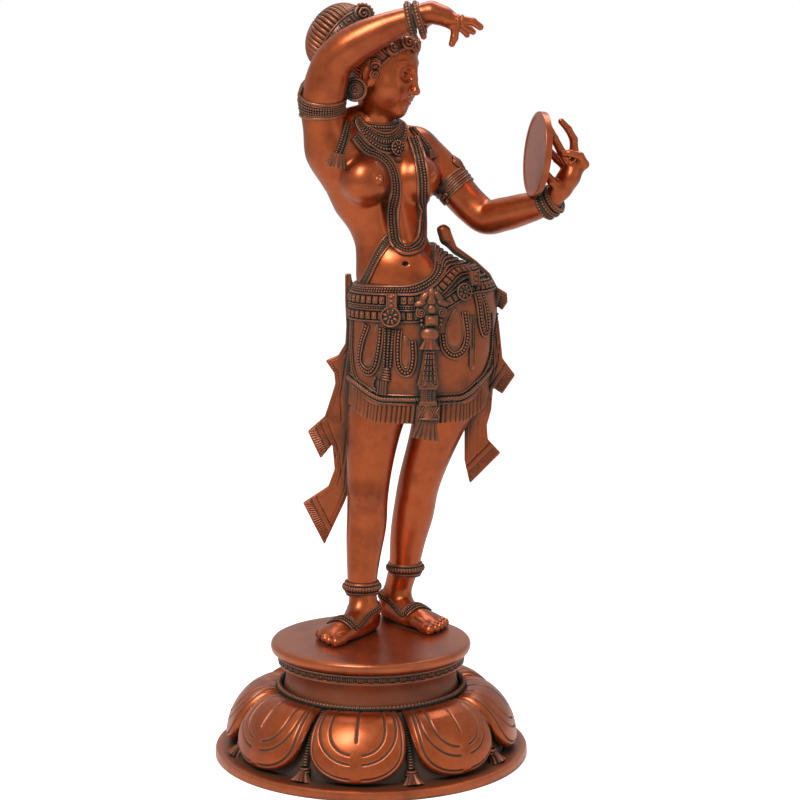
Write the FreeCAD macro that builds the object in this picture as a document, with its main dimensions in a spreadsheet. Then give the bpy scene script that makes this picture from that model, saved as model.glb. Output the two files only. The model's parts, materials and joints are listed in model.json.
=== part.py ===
# Cast brass statue: a woman with a hand mirror, standing on a round plinth over a lotus base.
# Millimetres, +Z up.  The origin is the centre of the base's flat underside, and -Y is the front.
import FreeCAD, Part
import math
import os
from FreeCAD import Placement, Rotation, Vector

doc = FreeCAD.newDocument("lady_with_mirror")

# ---------------------------------------------------------------- driving dimensions
BASE_SIZES = {
    "rim_radius": 144, "rim_height": 9, "rim_lip": 2, "rim_inner_radius": 118,
    "dome_foot_radius": 123, "dome_belly_radius": 111, "dome_belly_height": 38,
    "neck_radius": 85, "neck_height": 62, "casting_wall": 6,
    "petal_count": 8, "petal_phase": -6, "petal_angle": 40, "petal_width": 83,
    "petal_belly_radius": 121, "petal_belly_height": 44, "petal_tip_radius": 129, "petal_tip_height": 11,
    "petal_corner": 24, "petal_tassel_length": 34, "petal_tassel_radius": 3, "petal_skirt_radius": 9,
    "lower_ring_radius": 85, "lower_ring_section": 3,
    "drum_radius": 81, "drum_waist_radius": 78.5, "drum_height": 25, "drum_wall": 7,
    "band_radius": 87, "band_height": 9,
    "plinth_radius": 92, "plinth_thickness": 11, "plinth_edge": 3,
    "stud_radius": 5, "stud_clearance": 0.5, "stud_depth_in_plinth": 7, "stud_tail": 14,
    "washer_radius": 12, "washer_thickness": 2, "nut_across_corners": 18.5, "nut_thickness": 8,
    "foot_peg_radius": 3.5, "foot_peg_length": 16, "foot_peg_in_plinth": 7,
}
FITTING_SIZES = {
    "trunk_wall": 7, "breast_radius": 22, "head_half_width": 29, "head_half_depth": 33, "head_half_height": 40,
    "head_turn": 65, "bun_radius": 33, "bun_half_thickness": 24, "earring_radius": 10.5, "earring_thickness": 6,
    "curl_radius": 6.5, "mirror_radius": 38, "mirror_thickness": 6, "mirror_edge": 1.2,
    "finger_radius": 3.6, "toe_radius": 4.2, "armlet_section": 4.5, "bangle_section": 3.2, "anklet_section": 4.6,
    "chain_section": 3.4, "skirt_thickness": 4, "girdle_height": 20, "girdle_thickness": 4.5,
    "swag_section": 3.2, "hem_section": 3, "frill_height": 15, "frill_thickness": 4, "sash_thickness": 5,
    "rosette_radius": 7.5, "rosette_depth": 4,
}
# Trunk rings from the thighs up: x, y, z of the centre, half width, half depth, turn about Z.
TRUNK = {
    "thighs": (41, 48, 315, 62, 42, 6), "seat": (46, 49, 350, 65, 45, 8), "hips": (48, 50, 385, 65, 46, 8),
    "loin": (49, 50, 415, 63, 43, 9), "haunch": (44, 49, 438, 55, 37, 12), "navel": (31, 49, 452, 42, 30, 16),
    "waist": (21, 48, 466, 36, 26, 20), "midriff": (14, 49, 488, 39, 28, 25), "ribs": (9, 50, 510, 45, 31, 30),
    "chest": (7, 50, 532, 51, 32, 30), "shoulders": (6, 49, 552, 46, 26, 30), "collar": (4, 48, 566, 28, 20, 35),
    "neck_root": (4, 47, 575, 18.5, 17.5, 40),
}
# Limb rings: x, y, z of the centre and the radius there.
LIMBS = {
    "right_leg": {"hip": (9, 43, 315, 24), "thigh": (1, 42, 283, 23), "knee": (-3, 38, 228, 19.5),
                  "calf": (-6, 36, 192, 17.5), "shin": (-8, 32, 164, 14.3), "ankle": (-8, 29, 132, 13)},
    "left_leg": {"hip": (68, 51, 315, 25), "thigh": (58, 53, 283, 22), "knee": (43, 58, 228, 20),
                 "calf": (36, 63, 192, 17.5), "shin": (32, 66, 168, 15), "ankle": (27, 69, 136, 13)},
    "right_upper": {"shoulder": (-34, 28, 550, 22), "armlet": (-46, 20, 596, 20)},
    "right_elbow": {"armlet": (-46, 20, 596, 20), "elbow": (-38, 8, 640, 18)},
    "right_fore": {"elbow": (-38, 8, 640, 18), "mid": (-2, 0, 654, 15.6), "wrist": (43, -8, 672, 10.2)},
    "left_upper": {"shoulder": (49, 70, 547, 20), "armlet": (79, 64, 516, 17)},
    "left_elbow": {"armlet": (79, 64, 516, 17), "elbow": (105, 55, 490, 16)},
    "left_fore": {"elbow": (105, 55, 490, 16), "mid": (137, 28, 500, 14.5), "wrist": (163, 6, 508, 11)},
}
# Single points that other pieces hang on.
POINTS = {
    "head": (13, 42, 625), "bun": (-30, 66, 654), "right_earring": (-14, 17, 609), "left_earring": (16, 77, 609),
    "right_breast": (-4, 15, 526), "left_breast": (44, 43, 526), "pendant": (22, 15, 553),
    "mirror": (149.5, 4, 550), "right_palm": (58, -9, 674), "left_palm": (175, 4, 527),
    "right_heel": (-2, 36, 107), "right_ball": (-34, -4, 107), "left_heel": (20, 80, 107), "left_ball": (57, 28, 107),
    "clasp": (56, -4, 422), "right_rosette": (19, -1, 404), "left_rosette": (82, 7, 425),
}

sheet = doc.addObject("Spreadsheet::Sheet", "Sizes")
cells = dict(BASE_SIZES)
cells.update(FITTING_SIZES)
for ring, values in TRUNK.items():
    cells.update(zip([f"{ring}_{k}" for k in ("x", "y", "z", "half_width", "half_depth", "turn")], values))
for limb, rings in LIMBS.items():
    for ring, values in rings.items():
        cells.update(zip([f"{limb}_{ring}_{k}" for k in ("x", "y", "z", "radius")], values))
for point, values in POINTS.items():
    cells.update(zip([f"{point}_{k}" for k in ("x", "y", "z")], values))
for row, (name, value) in enumerate(cells.items(), start=1):
    sheet.set(f"A{row}", name)
    sheet.set(f"B{row}", str(value))
    sheet.setAlias(f"B{row}", name)
doc.recompute()


def size(name):
    """The sheet's value of one alias."""
    return float(sheet.get(name))


def point(name):
    """A point kept in the sheet as NAME_x, NAME_y and NAME_z."""
    return Vector(size(name + "_x"), size(name + "_y"), size(name + "_z"))


def bind(obj, **expressions):
    """Binds properties to the sheet: a double underscore stands for a dot in the property's path."""
    for path, expression in expressions.items():
        obj.setExpression(path.replace("__", "."), expression)
    return obj


def place(obj, name, rotation=None):
    """Puts obj at a sheet point, bound to its three cells."""
    obj.Placement = Placement(point(name), rotation or Rotation())
    return bind(obj, Placement__Base__x=f"Sizes.{name}_x", Placement__Base__y=f"Sizes.{name}_y",
                Placement__Base__z=f"Sizes.{name}_z")


# ---------------------------------------------------------------- shared ways of making a piece
pieces = []
plinth_top = size("neck_height") + size("drum_height") + size("band_height") + size("plinth_thickness")


def keep(obj, label):
    """Names obj as one sub-part, which is exported under that name."""
    obj.Label = label
    pieces.append(obj)
    return obj


def along(direction, across=Vector(1, 0, 0)):
    """A rotation whose Z axis is direction and whose X axis is as near across as it can be."""
    return Rotation(across, Vector(), direction, "ZXY")


def revolved(label, outline):
    """A body turned about Z from a closed outline of (radius, height) corners; a third value is an arc's middle."""
    body = doc.addObject("PartDesign::Body", label + "_body")
    sketch = body.newObject("Sketcher::SketchObject", label + "_outline")
    plane = next(f for f in body.Origin.OriginFeatures if f.Role == "XZ_Plane")
    sketch.AttachmentSupport = [(plane, "")]
    sketch.MapMode = "FlatFace"
    for start, end in zip(outline, outline[1:] + outline[:1]):
        a, b = Vector(*start[:2], 0), Vector(*end[:2], 0)
        if len(start) == 3:
            sketch.addGeometry(Part.Arc(a, Vector(*start[2], 0), b), False)
        else:
            sketch.addGeometry(Part.LineSegment(a, b), False)
    turn = body.newObject("PartDesign::Revolution", label + "_turn")
    turn.Profile = sketch
    turn.ReferenceAxis = (sketch, ["V_Axis"])
    turn.Angle = 360
    doc.recompute()
    return keep(body, label)


def plate(name, corners, thickness, rotation=Rotation()):
    """A flat plate cut to an outline drawn in the XZ plane; it grows towards +Y from the origin."""
    wire = Part.makePolygon([Vector(x, 0, z) for x, z in corners + corners[:1]])
    outline = doc.addObject("Part::Feature", name + "_outline")
    outline.Shape = wire
    plate_pad = doc.addObject("Part::Extrusion", name + "_plate")
    plate_pad.Base = outline
    plate_pad.Dir = Vector(0, 1, 0)
    plate_pad.DirMode = "Custom"
    plate_pad.Solid = True
    bind(plate_pad, LengthFwd=thickness)
    return plate_pad


def loft(name, rings):
    skin = doc.addObject("Part::Loft", name + "_loft")
    skin.Sections = rings
    skin.Solid = True
    skin.Ruled = False
    skin.MaxDegree = 3
    return skin


def ellipse_ring(name, grow="0", lift=0.0, tilt=0.0):
    """A trunk ring, level or tilted about Y, grown by an expression and lifted by a fixed height."""
    ring = doc.addObject("Part::Ellipse", "ring")
    turned = Rotation(Vector(0, 1, 0), tilt).multiply(Rotation(Vector(0, 0, 1), size(name + "_turn")))
    ring.Placement = Placement(Vector(), turned)
    return bind(ring, MajorRadius=f"Sizes.{name}_half_width + {grow}",
                MinorRadius=f"Sizes.{name}_half_depth + {grow}", Placement__Base__x=f"Sizes.{name}_x",
                Placement__Base__y=f"Sizes.{name}_y", Placement__Base__z=f"Sizes.{name}_z + {lift}")


def circle_ring(name, direction):
    ring = place(doc.addObject("Part::Circle", "ring"), name, along(direction))
    return bind(ring, Radius=f"Sizes.{name}_radius")


def limb(name, level=False):
    """A tapering limb through its sheet rings, square to its own path or level."""
    names = [f"{name}_{ring}" for ring in LIMBS[name]]
    spots = [point(n) for n in names]
    rings = []
    for i, ring in enumerate(names):
        path = spots[min(i + 1, len(spots) - 1)] - spots[max(i - 1, 0)]
        rings.append(circle_ring(ring, Vector(0, 0, 1) if level else path))
    return loft(name, rings)


def front_y(x, z, out=0.0):
    """The y of the figure's front surface at (x, z), moved out from the trunk rings and breasts by a distance."""
    names = sorted(TRUNK, key=lambda n: size(n + "_z"))
    low = max([n for n in names if size(n + "_z") <= z] or names[:1], key=lambda n: size(n + "_z"))
    high = min([n for n in names if size(n + "_z") > z] or names[-1:], key=lambda n: size(n + "_z"))
    span = size(high + "_z") - size(low + "_z")
    share = (z - size(low + "_z")) / span if span > 0 else 0.0
    share = min(max(share, 0.0), 1.0)
    cx, cy, wide, deep, turn = [size(f"{low}_{k}") * (1 - share) + size(f"{high}_{k}") * share
                                for k in ("x", "y", "half_width", "half_depth", "turn")]
    c, s, dx = math.cos(math.radians(turn)), math.sin(math.radians(turn)), x - cx
    wide, deep = wide + out, deep + out
    a = (s / wide) ** 2 + (c / deep) ** 2
    b = dx * s * c * (1 / wide ** 2 - 1 / deep ** 2)
    k = (dx * c / wide) ** 2 + (dx * s / deep) ** 2 - 1
    found = [cy + (-b - math.sqrt(max(b * b - a * k, 0.0))) / a]
    for side in ("right", "left"):
        centre, radius = point(f"{side}_breast"), size("breast_radius") + out
        gap = radius ** 2 - (x - centre.x) ** 2 - (z - centre.z) ** 2
        if gap > 0:
            found.append(centre.y - math.sqrt(gap))
    return min(found)


def on_front(corners, out):
    """Points on the figure's front surface from (x, z) pairs."""
    return [Vector(x, front_y(x, z, out), z) for x, z in corners]


def ball(name, radius):
    return bind(place(doc.addObject("Part::Sphere", name + "_ball"), name), Radius=radius)


def fused(name, parts):
    joined = doc.addObject("Part::MultiFuse", name)
    joined.Shapes = parts
    return joined


def trimmed(blank, tools):
    """blank with each tool's solid taken out of it, so that the piece fits what it is worn on."""
    for tool in tools:
        cut = doc.addObject("Part::Cut", blank.Name + "_fit")
        cut.Base = blank
        cut.Tool = tool
        blank = cut
    doc.recompute()
    return blank


def ring_on(label, centre, direction, radius, section, tools):
    """A round bead or bangle about a limb, trimmed to it."""
    torus = doc.addObject("Part::Torus", label + "_torus")
    torus.Radius1 = radius
    bind(torus, Radius2=f"Sizes.{section}")
    torus.Placement = Placement(centre, along(direction))
    return trimmed(torus, tools)


def tube(points, radius):
    """A round bar along straight runs, each joined to the next by a tangent arc."""
    edges, last = [], points[0]
    for before, corner, after in zip(points, points[1:], points[2:]):
        inwards, outwards = (before - corner), (after - corner)
        turn = math.pi - inwards.getAngle(outwards)
        reach = 0.45 * min(inwards.Length, outwards.Length)
        start = corner + inwards.normalize() * reach
        end = corner + outwards.normalize() * reach
        radius_here = reach / math.tan(turn / 2)
        middle = (start + end) * 0.5 - corner
        apex = corner + middle.normalize() * (radius_here / math.cos(turn / 2) - radius_here)
        edges += [Part.LineSegment(last, start).toShape(), Part.Arc(start, apex, end).toShape()]
        last = end
    edges.append(Part.LineSegment(last, points[-1]).toShape())
    path = Part.Wire(edges)
    first = points[1] - points[0]
    profile = Part.Wire(Part.makeCircle(radius, points[0], first))
    return path.makePipeShell([profile], True, False)


def shape_piece(name, shape):
    made = doc.addObject("Part::Feature", name)
    made.Shape = shape
    return made


def spun(shape, count, phase):
    """count copies of a solid spaced evenly about Z."""
    copies = []
    for i in range(int(count)):
        copy = shape.copy()
        copy.rotate(Vector(), Vector(0, 0, 1), phase + i * 360.0 / count)
        copies.append(copy)
    return Part.makeCompound(copies)


# ---------------------------------------------------------------- base: lotus, drum and plinth
def make_base():
    rim, lip, foot = size("rim_radius"), size("rim_lip"), size("dome_foot_radius")
    height, neck, top = size("rim_height"), size("neck_radius"), size("neck_height")
    belly, belly_z, wall = size("dome_belly_radius"), size("dome_belly_height"), size("casting_wall")
    bore, inner = size("stud_radius") + size("stud_clearance"), size("rim_inner_radius")
    base = revolved("lotus_base", [
        (inner, 0), (rim, 0), (rim, height - lip), (rim - lip, height), (foot, height, (belly, belly_z)),
        (neck, top), (bore, top), (bore, top - wall), (neck - wall, top - wall, (belly - wall, belly_z - wall)),
        (inner - lip, height)])
    tip, tip_z = size("petal_tip_radius"), size("petal_tip_height")
    crescent = Part.Face(Part.Wire([
        Part.Arc(Vector(foot, 0, height), Vector(belly, 0, belly_z), Vector(neck, 0, top)).toShape(),
        Part.LineSegment(Vector(neck, 0, top), Vector(neck + 1, 0, top + 1)).toShape(),
        Part.Arc(Vector(neck + 1, 0, top + 1), Vector(size("petal_belly_radius"), 0, size("petal_belly_height")),
                 Vector(tip, 0, tip_z)).toShape(),
        Part.LineSegment(Vector(tip, 0, tip_z), Vector(foot, 0, height)).toShape()]))
    angle = size("petal_angle")
    crescent.rotate(Vector(), Vector(0, 0, 1), -90 - angle / 2)
    wedge = crescent.revolve(Vector(), Vector(0, 0, 1), angle)
    half, corner, floor = size("petal_width") / 2, size("petal_corner"), tip_z - 2
    slant = corner * (1 - math.sqrt(0.5))
    outline = Part.Wire([
        Part.LineSegment(Vector(-half, 0, top + corner), Vector(-half, 0, floor + corner)).toShape(),
        Part.Arc(Vector(-half, 0, floor + corner), Vector(slant - half, 0, floor + slant),
                 Vector(corner - half, 0, floor)).toShape(),
        Part.LineSegment(Vector(corner - half, 0, floor), Vector(half - corner, 0, floor)).toShape(),
        Part.Arc(Vector(half - corner, 0, floor), Vector(half - slant, 0, floor + slant),
                 Vector(half, 0, floor + corner)).toShape(),
        Part.LineSegment(Vector(half, 0, floor + corner), Vector(half, 0, top + corner)).toShape(),
        Part.LineSegment(Vector(half, 0, top + corner), Vector(-half, 0, top + corner)).toShape()])
    cutter = Part.Face(outline).extrude(Vector(0, -rim, 0))
    petal = wedge.common(cutter)
    count, phase = size("petal_count"), size("petal_phase")
    keep(shape_piece("petals", spun(petal.Solids[0], count, phase)), "lotus_petals")

    string, skirt = size("petal_tassel_radius"), size("petal_skirt_radius")
    drop = size("petal_tassel_length")
    upper, lower = Vector(0, -neck - 2, top), Vector(0, -foot - 1, top - drop - 8)
    bend = Vector(0, -belly - 3, top - drop * 0.4)
    cord = tube([upper, bend, lower], string)
    bell = Part.makeCone(string, skirt, lower.z - height, lower, Vector(0, 0, -1))
    tassel = cord.fuse(bell).cut(base.Shape)
    tassel = max(tassel.Solids, key=lambda s: s.Volume)
    keep(shape_piece("tassels", spun(tassel, count, phase + 180.0 / count)), "petal_tassels")

    drum, waist, drum_wall = size("drum_radius"), size("drum_waist_radius"), size("drum_wall")
    drum_top = top + size("drum_height")
    drum_body = revolved("pedestal_drum", [
        (drum - drum_wall, top), (drum, top, (waist, (top + drum_top) / 2)), (drum, drum_top),
        (drum, drum_top + size("band_height")), (bore, drum_top + size("band_height")),
        (bore, drum_top + size("band_height") - drum_wall), (drum - drum_wall, drum_top + size("band_height") - drum_wall)])
    lower_ring = ring_on("lower_ring", Vector(0, 0, top + size("lower_ring_section") - 1), Vector(0, 0, 1),
                         size("lower_ring_radius"), "lower_ring_section", [base, drum_body, doc.petals])
    keep(lower_ring, "lower_bead_ring")
    band = size("band_radius")
    revolved("rosette_band", [(drum, drum_top), (band - 1, drum_top), (band, drum_top + 1.5),
                              (band, drum_top + size("band_height")), (drum, drum_top + size("band_height"))])
    edge, plinth_base, radius = size("plinth_edge"), drum_top + size("band_height"), size("plinth_radius")
    blind = plinth_base + size("stud_depth_in_plinth")
    revolved("plinth", [
        (size("stud_radius"), plinth_base), (radius - edge, plinth_base), (radius, plinth_base + edge),
        (radius, plinth_top - edge, (radius - 0.3 * edge, plinth_top - 0.3 * edge)), (radius - edge, plinth_top),
        (0, plinth_top), (0, blind), (size("stud_radius"), blind)])
    make_fixings(base, blind)


def make_fixings(base, blind):
    """The stud that draws the plinth, drum and lotus base together, with its washer and nut inside."""
    seat = size("neck_height") - size("casting_wall")
    stud = doc.addObject("Part::Cylinder", "stud")
    bind(stud, Radius="Sizes.stud_radius")
    stud.Height = blind - seat + size("stud_tail")
    stud.Placement.Base = Vector(0, 0, seat - size("stud_tail"))
    keep(stud, "fixing_stud")
    gap, washer_z = size("stud_clearance"), seat - size("washer_thickness")
    disc = Part.makeCylinder(size("washer_radius"), size("washer_thickness"), Vector(0, 0, washer_z))
    hole = Part.makeCylinder(size("stud_radius") + gap, size("washer_thickness"), Vector(0, 0, washer_z))
    keep(shape_piece("washer", disc.cut(hole)), "fixing_washer")
    corners = size("nut_across_corners") / 2
    nut_z = washer_z - size("nut_thickness")
    hexagon = [Vector(corners * math.cos(math.radians(a)), corners * math.sin(math.radians(a)), nut_z)
               for a in range(0, 361, 60)]
    block = Part.Face(Part.makePolygon(hexagon)).extrude(Vector(0, 0, size("nut_thickness")))
    thread = Part.makeCylinder(size("stud_radius"), size("nut_thickness"), Vector(0, 0, nut_z))
    keep(shape_piece("nut", block.cut(thread)), "fixing_nut")


# ---------------------------------------------------------------- figure: cast body sections
def make_trunk():
    """Hips, torso and both arms down to the armlets, cast hollow in one piece."""
    skin = loft("trunk", [ellipse_ring(name) for name in TRUNK])
    arms = []
    for side in ("right", "left"):
        arms += [limb(f"{side}_upper"), ball(f"{side}_upper_shoulder", f"Sizes.{side}_upper_shoulder_radius + 0.4")]
        arms.append(ball(f"{side}_breast", "Sizes.breast_radius"))
    doc.recompute()
    body = fused("trunk_body", [skin] + arms)
    body.Label = "trunk_blank"
    inner = [name for name in TRUNK if name not in ("thighs", "shoulders", "collar", "neck_root")]
    core = loft("trunk_core", [ellipse_ring(name, "-Sizes.trunk_wall") for name in inner])
    return keep(trimmed(body, [core]), "trunk")


def foot(side, heel, ball_point, leg_ankle):
    """A foot on the plinth: a low wedge, a round ankle and five toes side by side."""
    forward = Vector(ball_point.x - heel.x, ball_point.y - heel.y, 0)
    length = forward.Length
    forward.normalize()
    across = Vector(-forward.y, forward.x, 0)
    toe = size("toe_radius")
    sections = []
    for share, half_width, height in ((0.0, 10, 17), (0.4, 12, 21), (0.75, 16, 15), (1.0, 18, 10)):
        at = heel + forward * (length * share)
        corners = [at - across * half_width, at - across * half_width * 0.75 + Vector(0, 0, height),
                   at + across * half_width * 0.75 + Vector(0, 0, height), at + across * half_width]
        sections.append(Part.makePolygon(corners + corners[:1]))
    solid = Part.makeLoft(sections, True, True)
    ankle = Part.makeCone(size(f"{side}_leg_ankle_radius") - 0.2, size(f"{side}_leg_ankle_radius") + 1,
                          leg_ankle.z - plinth_top - 1, leg_ankle, Vector(0, 0, -1))
    toes = []
    for i in range(5):
        root = heel + forward * (length - 4) + across * ((i - 2) * 1.72 * toe) + Vector(0, 0, toe + 0.4)
        reach = 19 - abs(i - 1.0)
        bar = Part.makeCylinder(toe, reach, root, forward)
        toes.append(bar.fuse(Part.makeSphere(toe * 1.02, root + forward * reach)))
    return solid.multiFuse([ankle] + toes)


def make_legs():
    pegs = []
    for side in ("right", "left"):
        leg = keep(limb(f"{side}_leg", level=True), f"{side}_leg")
        doc.recompute()
        solid = foot(side, point(f"{side}_heel"), point(f"{side}_ball"), point(f"{side}_leg_ankle"))
        radius, length = size("foot_peg_radius"), size("foot_peg_length")
        spot = point(f"{side}_heel") * 0.7 + point(f"{side}_ball") * 0.3
        peg = Part.makeCylinder(radius, length, Vector(spot.x, spot.y, plinth_top - size("foot_peg_in_plinth")))
        pegs.append(peg)
        keep(shape_piece(f"{side}_foot_shape", solid.cut(peg)), f"{side}_foot")
        shin, ankle = point(f"{side}_leg_shin"), point(f"{side}_leg_ankle")
        middle = (shin + ankle) * 0.5
        anklet = ring_on(f"{side}_anklet", middle, Vector(0, 0, 1), size(f"{side}_leg_shin_radius") + 1,
                         "anklet_section", [leg, doc.getObject(f"{side}_foot_shape")])
        keep(anklet, f"{side}_anklet")
        heel, ball_point = point(f"{side}_heel"), point(f"{side}_ball")
        forward = ball_point - heel
        centre = heel + forward * 0.42 + Vector(0, 0, 17)
        slope = forward.normalize() * -0.22 + Vector(0, 0, 1)
        chain = ring_on(f"{side}_foot_chain", centre, Vector(-slope.x, -slope.y, slope.z), 18, "chain_section",
                        [doc.getObject(f"{side}_foot_shape"), leg])
        keep(chain, f"{side}_foot_chain")
    keep(shape_piece("pegs", Part.makeCompound(pegs)), "foot_pegs")
    plinth = next(p for p in pieces if p.Label == "plinth")
    socketed = trimmed(plinth, [doc.pegs])
    pieces.remove(plinth)
    plinth.Label = "plinth_blank"
    keep(socketed, "plinth")


FINGERS = {   # root, knuckle and tip of each finger, from the palm's centre
    "right": [((12, -6, -6), (26, -7, -7.5), (38, -7, -12.5)), ((10, -1, -8), (17, -3, -13), (14, -4, -27)),
              ((12, 4, -7), (24, 6, -11), (32, 7, -16.5)), ((10, 9, -7), (20, 12, -12), (28, 15, -18)),
              ((-6, 6, -6), (-11, 9, -12), (-10.5, 10, -20))],
    "left": [((3, -2, 14), (-9, -4, 33), (-20, -3, 54)), ((7, 5, 14), (7, 4, 36), (-3, 2, 51)),
             ((9, 1, 8), (16, -1, 14), (0, -7, 24)), ((1, 6, 11), (-13, 8, 25), (-19, 6, 32)),
             ((-6, -5, -8), (-17, -7, 5), (-20, -6, 13))],
}


def hand(side):
    """A palm with four fingers and a thumb, each a bent round bar with a rounded tip."""
    wrist, palm, radius = point(f"{side}_fore_wrist"), point(f"{side}_palm"), size("finger_radius")
    wrist_radius = size(f"{side}_fore_wrist_radius")
    path = palm - wrist
    solid = Part.makeCone(wrist_radius, 0.8 * wrist_radius, path.Length, wrist, path)
    solid = solid.fuse(Part.makeSphere(0.95 * wrist_radius, palm))
    for root, knuckle, tip in FINGERS[side]:
        spots = [palm + Vector(*root), palm + Vector(*knuckle), palm + Vector(*tip)]
        for start, end, wide in ((spots[0], spots[1], 1.15), (spots[1], spots[2], 1.0)):
            bone = end - start
            solid = solid.fuse(Part.makeCone(wide * radius, radius * 0.9, bone.Length, start, bone))
            solid = solid.fuse(Part.makeSphere(radius * 0.9, end))
    return solid


def make_arms(trunk):
    for side in ("right", "left"):
        parts = [limb(f"{side}_elbow"), ball(f"{side}_elbow_elbow", f"Sizes.{side}_elbow_elbow_radius + 0.4"),
                 limb(f"{side}_fore")]
        doc.recompute()
        arm = keep(trimmed(fused(f"{side}_arm_body", parts), [trunk]), f"{side}_arm")
        armlet, elbow = point(f"{side}_elbow_armlet"), point(f"{side}_elbow_elbow")
        down = (elbow - armlet).normalize()
        worn = size(f"{side}_elbow_armlet_radius") + 0.6
        centre = armlet + down * 1.2
        bore = Part.makeCylinder(worn, 30, centre - down * 15, down)
        sleeve = shape_piece(f"{side}_armlet_bore", bore)
        keep(ring_on(f"{side}_armlet", centre, down, worn, "armlet_section", [sleeve]), f"{side}_armlet")
        palm = shape_piece(f"{side}_hand_shape", hand(side))
        keep(trimmed(palm, [arm]), f"{side}_hand")
        wrist, back = point(f"{side}_fore_wrist"), point(f"{side}_fore_mid")
        path = (wrist - back).normalize()
        rings = []
        for step in (-8.0, -1.5):
            torus = Part.makeTorus(size(f"{side}_fore_wrist_radius") + 1.2, size("bangle_section"),
                                   wrist + path * step, path)
            rings.append(torus)
        pair = shape_piece(f"{side}_bangle_pair", rings[0].fuse(rings[1]))
        keep(trimmed(pair, [arm, palm]), f"{side}_bangles")


def make_mirror():
    disc = doc.addObject("Part::Cylinder", "mirror_disc")
    bind(disc, Radius="Sizes.mirror_radius", Height="Sizes.mirror_thickness")
    place(disc, "mirror", along(Vector(-0.98, -0.18, 0.1), Vector(0, 0, 1)))
    doc.recompute()
    rim = doc.addObject("Part::Chamfer", "mirror_rim")
    rim.Base = disc
    edge = size("mirror_edge")
    round_edges = [i + 1 for i, e in enumerate(disc.Shape.Edges) if e.Closed]
    rim.Edges = [(i, edge, edge) for i in round_edges]
    doc.recompute()
    hand_piece = next(p for p in pieces if p.Label == "left_hand")
    keep(trimmed(rim, [hand_piece]), "mirror")


# ---------------------------------------------------------------- head, hair and jewellery
def make_head(trunk):
    centre, turn = point("head"), size("head_turn")
    wide, deep, tall = size("head_half_width"), size("head_half_depth"), size("head_half_height")
    neck = limb_between("neck", point("neck_root"), centre, 17.5, 15.5)
    skull = doc.addObject("Part::Ellipsoid", "skull")
    skull.Radius1, skull.Radius2, skull.Radius3 = tall, wide, deep
    skull.Angle1, skull.Angle2, skull.Angle3 = -90, 90, 360
    place(skull, "head", Rotation(Vector(0, 0, 1), turn))
    face = Vector(math.sin(math.radians(turn)), -math.cos(math.radians(turn)), 0)
    nose = shape_piece("nose", Part.makeCone(2, 5, 18, centre + face * (deep - 5) + Vector(0, 0, 2),
                                             Vector(0, 0, -1) + face * 0.25))
    doc.recompute()
    head = keep(trimmed(fused("head_body", [skull, neck, nose]), [trunk]), "head")

    cap = doc.addObject("Part::Ellipsoid", "hair_shell")
    cap.Radius1, cap.Radius2, cap.Radius3 = tall - 6, wide + 3, deep + 2
    cap.Angle1, cap.Angle2, cap.Angle3 = -90, 90, 360
    cap.Placement = Placement(centre - face * 6 + Vector(0, 0, 8), Rotation(Vector(0, 0, 1), turn))
    hair = keep(trimmed(cap, [head]), "hair_cap")

    side = Vector(-face.y, face.x, 0)
    curls = []
    for angle in range(-90, 91, 30):
        a = math.radians(angle)
        spot = centre + side * (math.sin(a) * (wide - 1)) + face * (math.cos(a) * deep - 3)
        curls.append(Part.makeSphere(size("curl_radius"), spot + Vector(0, 0, 27 - 12 * abs(math.sin(a)))))
    row = shape_piece("curl_row", curls[0].multiFuse(curls[1:]))
    keep(trimmed(row, [head, hair]), "forehead_curls")

    bun = doc.addObject("Part::Ellipsoid", "bun")
    bind(bun, Radius1="Sizes.bun_half_thickness", Radius2="Sizes.bun_radius", Radius3="Sizes.bun_radius")
    bun.Angle1, bun.Angle2, bun.Angle3 = -90, 90, 360
    knot = point("bun") - centre
    place(bun, "bun", along(knot))
    hair_bun = keep(trimmed(bun, [hair, head]), "hair_bun")
    band = ring_on("bun_band", centre + knot * 0.62, knot, 24, "armlet_section", [hair, head, hair_bun])
    keep(band, "bun_band")
    for name in ("right", "left"):
        disc = doc.addObject("Part::Cylinder", f"{name}_earring_disc")
        bind(disc, Radius="Sizes.earring_radius", Height="Sizes.earring_thickness")
        outwards = side * (1 if name == "left" else -1)
        place(disc, f"{name}_earring", along(outwards))
        keep(trimmed(disc, [head, hair]), f"{name}_earring")
    return head


def limb_between(name, start, end, start_radius, end_radius):
    path = end - start
    return shape_piece(name, Part.makeCone(start_radius, end_radius, path.Length, start, path))


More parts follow.
